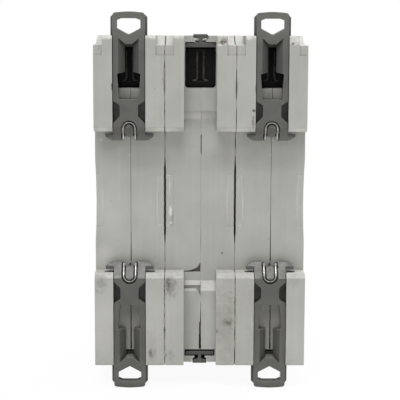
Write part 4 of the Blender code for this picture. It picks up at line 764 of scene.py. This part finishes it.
def make_metal(name, bright, dull, cloud, smoothest, roughest, soot=()):
    """A drawn or rolled metal, bright to dull in clouds, with fine lines along it and marks of soot."""
    made, tree, shader = new_material(name, metal=1.0)
    skin = place_group(tree, moulded_skin, Grain=3000.0, Cloud=cloud)
    clouded = cloud_over(tree, skin, bright, dull)
    tone = lay_group(tree, clouded, bright, rubbed_edges, Width=0.0002, Patch=900.0, Amount=0.8)
    if soot:
        tone = lay_marks(tree, tone, soot, SOOT_COLOUR)
    connect(tree, shader, tone, sheen(tree, skin, smoothest, roughest, 0.25, 0.75), skin["Draw"], 0.01 * MM)
    return made


copper = make_metal("copper", COPPER_BRIGHT, COPPER_BROWN, 240.0, 0.28, 0.48, SOOT_MARKS)
for pole in (1, 2, 3):
    finish_node(f"fixed_contact_{pole}", copper, STAMPED_EDGE)
    finish_node(f"contact_arm_{pole}", copper, STAMPED_EDGE)


# Arc chutes: zinc-plated steel splitter plates, stacked in side cards behind the contacts of each pole.
# The plating is dull and cloudy, with a blue-grey cast.
ZINC_BRIGHT = (0.64, 0.64, 0.635, 1)
ZINC_DULL = (0.42, 0.425, 0.43, 1)
PLATE_EDGE = 0.05 * MM
zinc_steel = make_metal("zinc_steel", ZINC_BRIGHT, ZINC_DULL, 320.0, 0.3, 0.52)
for pole in (1, 2, 3):
    finish_node(f"arc_chute_{pole}", zinc_steel, PLATE_EDGE)


# Bimetals: a strip of two rolled alloys in each pole, spot-welded to the lower terminal's tongue.
# It has gone straw-coloured with heat.
BIMETAL_STRAW = (0.58, 0.51, 0.4, 1)
BIMETAL_GREY = (0.4, 0.37, 0.33, 1)
bimetal_strip = make_metal("bimetal", BIMETAL_STRAW, BIMETAL_GREY, 200.0, 0.3, 0.45)
for pole in (1, 2, 3):
    finish_node(f"bimetal_{pole}", bimetal_strip, STAMPED_EDGE)


# Trip coils: four turns of thick enamelled copper wire in each pole, wound on a mandrel and left springy.
# The enamel is a clear red-brown coat, with the two ends led straight off at the sides.
COIL_WIRE = 0.9 * MM
COIL_RADIUS = 6.0 * MM
COIL_HEIGHT = -9.5 * MM
COIL_FIRST = -22.4 * MM
COIL_PITCH = 2.7 * MM
COIL_TURNS = 4
COIL_LEAD = 1.8 * MM
COIL_STEPS = 48
ENAMEL_COLOUR = (0.42, 0.13, 0.05, 1)
ENAMEL_DARK = (0.24, 0.07, 0.03, 1)


def make_coat(
    name, grain, cloud, colours, roughness, depth, rubbed=None, in_crevices=None, clouds=(0.3, 0.7), **shine
):
    """A plain finish of two colours in clouds, with any paler edges and any colour in crevices laid over
    them.
    """
    made, tree, shader = new_material(name, **shine)
    skin = place_group(tree, moulded_skin, Grain=grain, Cloud=cloud)
    tone = cloud_over(tree, skin, *colours, *clouds)
    # Paler edges are wear, and on the vents a painted highlight; a dark colour in crevices is dust and
    # painted shade.
    for group, layer in ((rubbed_edges, rubbed), (crevice_dust_and_shade, in_crevices)):
        if layer:
            colour, values = layer
            tone = lay_group(tree, tone, colour, group, **values)
    connect(tree, shader, tone, sheen(tree, skin, *roughness), skin["Height"], depth)
    return made


enamel = make_coat(
    "coil_enamel",
    grain=2600.0,
    cloud=260.0,
    colours=(ENAMEL_COLOUR, ENAMEL_DARK),
    roughness=(0.16, 0.3),
    depth=0.01 * MM,
    metal=0.6,
)
enamel.node_tree.nodes["Principled BSDF"].inputs["Coat Weight"].default_value = 0.5
for pole in (1, 2, 3):
    winding = []
    for step in range(COIL_STEPS * COIL_TURNS + 1):
        turn = 2 * pi * step / COIL_STEPS
        across = pole_middle(pole) + COIL_RADIUS * sin(turn)
        out = COIL_FIRST + COIL_PITCH * step / COIL_STEPS
        winding.append(Vector((across, out, COIL_HEIGHT + COIL_RADIUS * cos(turn))))
    first = [winding[0] + Vector((-COIL_LEAD * part, 0, 0)) for part in (1, 0.66, 0.33)]
    last = [winding[-1] + Vector((COIL_LEAD * part, 0, 0)) for part in (0.33, 0.66, 1)]
    shape = wire_shape(first + winding + last, COIL_WIRE)
    coil = add_piece(f"wound_coil_{pole}", shape, enamel, "case")
    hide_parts(f"trip_coil_{pole}")


# Trip plungers: an iron slug and its striking rod in each coil, turned from bar and zinc-plated.
# They slide on the axis of the winding.
TURNED_EDGE = 0.1 * MM
for pole in (1, 2, 3):
    finish_node(f"trip_plunger_{pole}", zinc_steel, TURNED_EDGE)


# Trip bar: one dark red moulding through all three poles, so that one pole trips the rest.
# It is a slippery plastic with a soft sheen.
TRIP_RED = (0.2, 0.03, 0.022, 1)
TRIP_RED_DARK = (0.13, 0.02, 0.016, 1)
TRIP_RUBBED = (0.34, 0.09, 0.075, 1)
TRIP_EDGE = 0.1 * MM
trip_plastic = make_coat(
    "trip_plastic",
    grain=3600.0,
    cloud=240.0,
    colours=(TRIP_RED, TRIP_RED_DARK),
    roughness=(0.35, 0.5),
    depth=0.01 * MM,
    rubbed=(TRIP_RUBBED, {"Width": 0.0003, "Patch": 500.0, "Amount": 0.4}),
    gloss=0.4,
)
finish_node("trip_bar", trip_plastic, TRIP_EDGE)


# Terminals: a folded clamp cage and a slotted steel screw at each end of each pole, zinc-plated.
# The cages are pressed from strip, and the screws turned, so rings run round their heads.
SCREW_HEIGHT = 33.5 * MM
SCREW_DULL = (0.5, 0.49, 0.45, 1)
LATHE_SCALE = 9000.0


def make_turned_steel():
    """Zinc-plated steel with the rings that a lathe leaves round the head of a screw."""
    made, tree, shader = new_material("turned_steel", metal=1.0)
    skin = place_group(tree, moulded_skin, Grain=3000.0, Cloud=420.0)
    spot = add_node(tree, "ShaderNodeSeparateXYZ", {"Vector": spot_on(tree)}).outputs
    pole = calc(tree, "ROUND", calc(tree, "DIVIDE", spot["X"], POLE_PITCH))
    aside = calc(tree, "SUBTRACT", spot["X"], calc(tree, "MULTIPLY", pole, POLE_PITCH))
    above = calc(tree, "SUBTRACT", calc(tree, "ABSOLUTE", spot["Z"]), SCREW_HEIGHT)
    squares = calc(tree, "ADD", calc(tree, "POWER", aside, 2.0), calc(tree, "POWER", above, 2.0))
    out = calc(tree, "SQRT", squares)
    ring = add_node(tree, "ShaderNodeCombineXYZ", {"X": out}).outputs[0]
    lathe = noise(tree, ring, LATHE_SCALE, 2.0)
    clouded = cloud_over(tree, skin, ZINC_BRIGHT, SCREW_DULL)
    # Dust and painted shade in crevices.
    in_crevices = lay_group(tree, clouded, DUST_AND_SHADE_COLOUR, crevice_dust_and_shade, Reach=0.0006, Patch=900.0, Amount=0.8)
    connect(tree, shader, in_crevices, fade(tree, lathe, 0.3, 0.7, 0.24, 0.46), lathe, 0.012 * MM)
    return made


turned_steel = make_turned_steel()
for end in ("top", "bottom"):
    for pole in (1, 2, 3):
        finish_node(f"terminal_cage_{end}_{pole}", zinc_steel, STAMPED_EDGE)
        finish_node(f"terminal_screw_{end}_{pole}", turned_steel, TURNED_EDGE)


# Terminal shutters: grey nylon flaps that ride on the clamp cages and close the gap behind the wire.
# A T-shaped tab on each runs in a slot of the end wall, where dust and painted shade gather round its stem.
CLIP_RUBBED_AND_LIT = (0.25, 0.248, 0.235, 1)
CLIP_DUST_AND_SHADE = (0.018, 0.017, 0.015, 1)


def make_clip_plastic(name, dark, darker, smoothest, roughest, dust_reach, worn, dirt):
    """Glass-filled nylon with rubbed edges, dust and painted shade in its corners, painted top light, worn
    places and marks of painted shade.
    """
    made, tree, shader = new_material(name, gloss=0.4)
    skin = place_group(tree, moulded_skin, Grain=3400.0, Cloud=260.0)
    clouded = cloud_over(tree, skin, dark, darker)
    edged = lay_group(tree, clouded, CLIP_RUBBED_AND_LIT, rubbed_edges, Width=0.00025, Patch=700.0, Amount=0.9)
    speckled = lay_group(tree, edged, CLIP_RUBBED_AND_LIT, dirt_specks, Scale=900.0, Share=0.06, Amount=0.25)
    # Painted top light: faces that look up are laid paler.
    top_lit = lay_group(tree, speckled, CLIP_RUBBED_AND_LIT, painted_top_light, Patch=1200.0, Amount=0.5)
    rubbed = lay_marks(tree, top_lit, worn, CLIP_RUBBED_AND_LIT)
    in_crevices = lay_group(tree, rubbed, CLIP_DUST_AND_SHADE, crevice_dust_and_shade, Reach=dust_reach, Patch=500.0, Amount=1.5)
    # The dark marks are painted shade: in the clips' hollows and spring grooves, and on the shutters under
    # the clips' windows.
    shaded = lay_marks(tree, in_crevices, dirt, CLIP_DUST_AND_SHADE)
    roughness = sheen(tree, skin, smoothest, roughest, 0.25, 0.75)
    connect(tree, shader, shaded, roughness, skin["Height"], 0.012 * MM)
    return made


SHUTTER_COLOUR = (0.075, 0.075, 0.069, 1)
SHUTTER_SHADE = (0.06, 0.06, 0.055, 1)
SHUTTER_EDGE = 0.08 * MM
SHUTTER_WORN = tuple(((0.0, 0.5, z), (1.6, 3.0, 1.4), 700, 0.6, 0.2) for z in (-41.0, 41.0))
# Painted shade on the shutters of the outer poles, under the clips' windows.
SHUTTER_PAINTED_SHADE = tuple(
    ((x, 1.9, z), (3.6, 3.0, 3.4), 300, 0.3, 1.0) for x in OUTER_POLES for z in (-38.6, 38.6)
)
shutter_plastic = make_clip_plastic(
    "shutter_plastic", SHUTTER_COLOUR, SHUTTER_SHADE, 0.4, 0.6, 0.0016, SHUTTER_WORN, SHUTTER_PAINTED_SHADE
)
for end in ("top", "bottom"):
    for pole in (1, 2, 3):
        finish_node(f"terminal_shutter_{end}_{pole}", shutter_plastic, SHUTTER_EDGE)


# Arc vents: a black plastic plug in the window above the rail recess of each pole, pushed in from inside.
# A groove with a flared foot runs down its face, and a rounded bead along each side catches the light.
# Its edges are laid lighter as a painted highlight.
VENT_BLACK = (0.0055, 0.0052, 0.0055, 1)
VENT_GREY = (0.008, 0.0077, 0.0077, 1)
VENT_EDGE_HIGHLIGHT = (0.075, 0.07, 0.062, 1)
VENT_FACE = -0.9 * MM
VENT_EDGE = 0.08 * MM
BEAD_RADIUS = 0.32 * MM
BEAD_SUNK = 0.16 * MM
BEAD_LINE = ((0.82, 37.8), (0.82, 31.5), (0.85, 30.95), (1.0, 30.62), (1.25, 30.45), (1.75, 30.4))
BEAD_BLACK = (0.022, 0.021, 0.019, 1)
BEAD_WORN = (0.06, 0.057, 0.051, 1)
vent_plastic = make_coat(
    "vent_plastic",
    grain=3000.0,
    cloud=300.0,
    colours=(VENT_BLACK, VENT_GREY),
    roughness=(0.45, 0.65),
    depth=0.015 * MM,
    # Painted highlight along the edges.
    rubbed=(VENT_EDGE_HIGHLIGHT, {"Width": 0.0003, "Patch": 350.0, "Amount": 0.7}),
    gloss=0.1,
)
bead_plastic = make_coat(
    "vent_bead_plastic",
    grain=3000.0,
    cloud=700.0,
    colours=(BEAD_BLACK, BEAD_WORN),
    roughness=(0.3, 0.5),
    depth=0.015 * MM,
    clouds=(0.35, 0.65),
    gloss=0.3,
)
for pole in (1, 2, 3):
    finish_node(f"arc_vent_{pole}", vent_plastic, VENT_EDGE)
    middle = pole_middle(pole)
    beads = []
    for side in (-1, 1):
        line = [Vector((middle + side * x * MM, VENT_FACE - BEAD_SUNK, z * MM)) for x, z in BEAD_LINE]
        beads.append(wire_shape(line, BEAD_RADIUS, 10))
    add_piece(f"vent_beads_{pole}", join_shapes(beads), bead_plastic, "case")


# Rail clips: dark grey glass-filled nylon levers that slide in the T slots of the outer poles.
# Each has a loop for a screwdriver, a hollow for its spring and a hook for the rail, and rubbed edges.
# Their hollows and the groove round the spring hold painted shade, and faces that look up are laid paler as
# painted top light.
CLIP_COLOUR = (0.105, 0.105, 0.097, 1)
CLIP_SHADE = (0.088, 0.088, 0.081, 1)
CLIP_EDGE = 0.1 * MM
# Painted shade in the hollows beside each clip's waist and in the groove round its spring.
POCKET_PAINTED_SHADE = tuple(
    ((x + side * 3.3, 2.6, z), (1.8, 1.8, 3.2), 700, 0.4, 1.0)
    for x in OUTER_POLES
    for side in (-1, 1)
    for z in (-23.0, 22.2)
)
GROOVE_PAINTED_SHADE = tuple(
    mark
    for x in OUTER_POLES
    for turned in (-1, 1)
    for mark in (
        *(((x + aside, 3.0, turned * 17.2), (0.8, 2.6, 2.6), 900, 0.6, 0.8) for aside in (-1.5, 1.5)),
        ((x, 4.2, turned * 20.3), (1.9, 2.0, 0.8), 900, 0.6, 0.8),
    )
)
WORN_MARKS = tuple(
    mark
    for x in OUTER_POLES
    for mark in (
        ((x, 4.0, 45.0), (12, 6, 9), 500, 0.8, 0.2),
        ((x, 4.0, -45.0), (12, 6, 7), 500, 0.8, 0.1),
        ((x, 2.0, 15.0), (10, 5, 3.6), 500, 0.8, 0.24),
    )
)
clip_plastic = make_clip_plastic(
    "clip_plastic", CLIP_COLOUR, CLIP_SHADE, 0.3, 0.48, 0.0018, WORN_MARKS, POCKET_PAINTED_SHADE + GROOVE_PAINTED_SHADE
)
for end in ("top", "bottom"):
    for pole in (1, 3):
        finish_node(f"rail_clip_{end}_{pole}", clip_plastic, CLIP_EDGE)


# Clip springs: a length of hard-drawn spring wire bent to a U and pressed into each clip's groove.
# It is bright steel, gone a little dull, with drawn lines along it.
SPRING_WIRE = 0.27 * MM
SPRING_HALF = 1.5 * MM
SPRING_FOOT = 16.05 * MM
SPRING_BEND = 18.7 * MM
SPRING_SLOPE = 0.8533
SPRING_LEAST = 2.47 * MM
RAMP_FOOT = 15.45 * MM
RAMP_BACK = 2.0 * MM
LEG_STEPS = 10
BEND_STEPS = 24
SPRING_BRIGHT = (0.56, 0.55, 0.53, 1)
SPRING_DULL = (0.36, 0.355, 0.34, 1)
spring_steel = make_metal("spring_steel", SPRING_BRIGHT, SPRING_DULL, 900.0, 0.3, 0.46)


def spring_depth(height):
    """How far back the wire lies at a height on its leg."""
    ramp = RAMP_BACK + SPRING_SLOPE * (min(height, SPRING_BEND) - RAMP_FOOT)
    return max(ramp - 2 * SPRING_WIRE, SPRING_LEAST)


leg = [SPRING_FOOT + (SPRING_BEND - SPRING_FOOT) * step / LEG_STEPS for step in range(LEG_STEPS)]
spring_line = [Vector((SPRING_HALF, spring_depth(height), height)) for height in leg]
for step in range(BEND_STEPS + 1):
    turn = pi * step / BEND_STEPS
    height = SPRING_BEND + SPRING_HALF * sin(turn)
    spring_line.append(Vector((SPRING_HALF * cos(turn), spring_depth(SPRING_BEND), height)))
spring_line += [Vector((-SPRING_HALF, spring_depth(height), height)) for height in reversed(leg)]
for end, turned in (("top", 1), ("bottom", -1)):
    for pole in (1, 3):
        line = [Vector((pole_middle(pole) + turned * x, y, turned * z)) for x, y, z in spring_line]
        shape = wire_shape(line, SPRING_WIRE)
        name = f"spring_wire_{end}_{pole}"
        spring = add_piece(name, shape, spring_steel, f"rail_clip_{end}_{pole}")
        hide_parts(f"clip_spring_{end}_{pole}")


# Toggles and their tie: black levers on drums in the noses, joined by a pin with a head at each end.
# They are a smooth plastic, polished by fingers, with grip ridges across both faces of each lever.
TOGGLE_BLACK = (0.045, 0.045, 0.048, 1)
TOGGLE_GREY = (0.06, 0.06, 0.063, 1)
HANDLE_Y = -44 * MM
HANDLE_REST = radians(35)
TOGGLE_RUBBED = (0.16, 0.16, 0.162, 1)
TOGGLE_DUST = (0.12, 0.11, 0.095, 1)
TOGGLE_EDGE = 0.12 * MM
LEVER_HALF = 2.8
LEVER_TAPER = 0.9
LEVER_LENGTH = 21.5
RIDGE_PLACES = (12.4, 13.8, 15.2)
RIDGE_RADIUS = 0.42 * MM
RIDGE_HALF = 2.7 * MM
RIDGE_SUNK = 0.12 * MM
handle_plastic = make_coat(
    "handle_plastic",
    grain=3600.0,
    cloud=200.0,
    colours=(TOGGLE_BLACK, TOGGLE_GREY),
    roughness=(0.28, 0.46),
    depth=0.008 * MM,
    rubbed=(TOGGLE_RUBBED, {"Width": 0.0005, "Patch": 300.0, "Amount": 0.35}),
    in_crevices=(TOGGLE_DUST, {"Reach": 0.001, "Patch": 600.0, "Amount": 0.6}),
    gloss=0.5,
)
for name in ("toggle_1", "toggle_2", "toggle_3", "handle_tie"):
    finish_node(name, handle_plastic, TOGGLE_EDGE)

lever = Matrix.Translation((0, HANDLE_Y, 0)) @ Matrix.Rotation(HANDLE_REST, 4, "X")
for pole in (1, 2, 3):
    ridges = []
    for out in RIDGE_PLACES:
        for over in (1, -1):
            height = over * ((LEVER_HALF - LEVER_TAPER * out / LEVER_LENGTH) * MM - RIDGE_SUNK)
            across = [pole_middle(pole) + RIDGE_HALF * step / 4 for step in range(-4, 5)]
            line = [lever @ Vector((x, -out * MM, height)) for x in across]
            ridges.append(wire_shape(line, RIDGE_RADIUS, 14))
    add_piece(f"grip_ridges_{pole}", join_shapes(ridges), handle_plastic, "handle")


# Rivets: two steel pins through all three poles, with a head spun over in a sunk ring at each flank.
# They are zinc-plated, and the spinning tool has left them smooth.
RIVET_EDGE = 0.15 * MM
for place in ("upper", "lower"):
    finish_node(f"rivet_{place}", zinc_steel, RIVET_EDGE)


# Label plates: a plain film of off-white polyester on the nose of each pole above its toggle, left bare.
# Its corners are rounded by the punch, and its face has a satin sheen.
LABEL_PLACE = Vector((0, -50, 15.6)) * MM
LABEL_WIDTH = 13.6 * MM
LABEL_HEIGHT = 9.0 * MM
LABEL_PROUD = 0.1 * MM
LABEL_CORNER = 0.8 * MM
LABEL_WHITE = (0.62, 0.62, 0.6, 1)
LABEL_GREY = (0.55, 0.55, 0.525, 1)
label_film = make_coat(
    "label_film",
    grain=5000.0,
    cloud=220.0,
    colours=(LABEL_WHITE, LABEL_GREY),
    roughness=(0.3, 0.42),
    depth=0.005 * MM,
    # Dust and painted shade in its crevices.
    in_crevices=(DUST_AND_SHADE_COLOUR, {"Reach": 0.0004, "Patch": 900.0, "Amount": 0.7}),
    gloss=0.4,
)
for pole in (1, 2, 3):
    place = LABEL_PLACE + Vector((pole_middle(pole), 0, 0))
    across, up = Vector((1, 0, 0)), Vector((0, 0, 1))
    shape = plate_shape(place, across, up, LABEL_WIDTH, LABEL_HEIGHT, LABEL_PROUD, LABEL_CORNER)
    add_piece(f"label_plate_{pole}", shape, label_film, "case")


# Numbers and switch marks: the terminals' numbers by the screws, and a bar and a ring by each toggle.
# They are raised with the case by the mould and inked dark grey, with the ink rubbed off in places.
STROKES = {
    "1": (((-0.4, 0.65), (0, 1), (0, 0), (0, -1)),),
    "2": (
        (
            (-0.55, 0.5), (-0.4, 0.85), (0, 1), (0.4, 0.85), (0.52, 0.45),
            (0.3, 0), (-0.55, -1), (0, -1), (0.6, -1),
        ),
    ),
    "3": (
        ((-0.5, 0.75), (-0.2, 1), (0.2, 1), (0.5, 0.7), (0.45, 0.3), (0.1, 0.08), (-0.15, 0.05)),
        ((0.1, 0.08), (0.5, -0.2), (0.55, -0.6), (0.25, -0.95), (-0.2, -1), (-0.55, -0.75)),
    ),
    "4": (
        ((0.25, -1), (0.25, 0), (0.25, 1)),
        ((0.25, 1), (-0.6, -0.4)),
        ((-0.6, -0.4), (0, -0.4), (0.6, -0.4)),
    ),
    "5": (
        ((0.5, 1), (0, 1), (-0.4, 1)),
        ((-0.4, 1), (-0.48, 0.1)),
        (
            (-0.48, 0.1), (-0.1, 0.25), (0.3, 0.18), (0.55, -0.2),
            (0.5, -0.65), (0.2, -0.95), (-0.2, -1), (-0.55, -0.75),
        ),
    ),
    "6": (
        (
            (0.35, 1), (-0.2, 0.55), (-0.5, 0), (-0.55, -0.5),
            (-0.3, -0.9), (0.1, -1), (0.45, -0.8), (0.55, -0.45),
        ),
        ((0.55, -0.45), (0.4, -0.1), (0.05, 0.05), (-0.3, -0.1), (-0.54, -0.4)),
    ),
    "bar": (((0, 1), (0, 0), (0, -1)),),
    "ring": (tuple((0.8 * sin(pi * step / 12), cos(pi * step / 12)) for step in range(25)),),
}
STROKE_RADIUS = 0.17 * MM
STROKE_PROUD = 0.08 * MM
NUMBER_HALF = 1.3 * MM
MARK_ASIDE = 6.3 * MM
NUMBER_Z = 28.4 * MM
SWITCH_Z = 4.6 * MM
NOSE_FRONT = -50 * MM
SHOULDER_FRONT = -43.5 * MM
INK_COLOUR = (0.05, 0.05, 0.052, 1)
ink = make_coat(
    "marking_ink",
    grain=4000.0,
    cloud=1400.0,
    colours=(INK_COLOUR, CASE_SHADE),
    roughness=(0.45, 0.6),
    depth=0.01 * MM,
    clouds=(0.56, 0.7),
    gloss=0.3,
)


def mark_shape(sign, place):
    """The strokes of a sign at a place on a front face: their points and faces."""
    start = place + Vector((0, STROKE_RADIUS - STROKE_PROUD, 0))
    lines = [[start + Vector((x, 0, z)) * NUMBER_HALF for x, z in stroke] for stroke in STROKES[sign]]
    return join_shapes(wire_shape(line, STROKE_RADIUS, 10) for line in lines)


for pole in (1, 2, 3):
    aside = pole_middle(pole) + MARK_ASIDE
    for name, sign, front, height in (
        ("number_top", str(2 * pole - 1), SHOULDER_FRONT, NUMBER_Z),
        ("number_bottom", str(2 * pole), SHOULDER_FRONT, -NUMBER_Z),
        ("switch_bar", "bar", NOSE_FRONT, SWITCH_Z),
        ("switch_ring", "ring", NOSE_FRONT, -SWITCH_Z),
    ):
        shape = mark_shape(sign, Vector((aside, front, height)))
        add_piece(f"{name}_{pole}", shape, ink, "case")
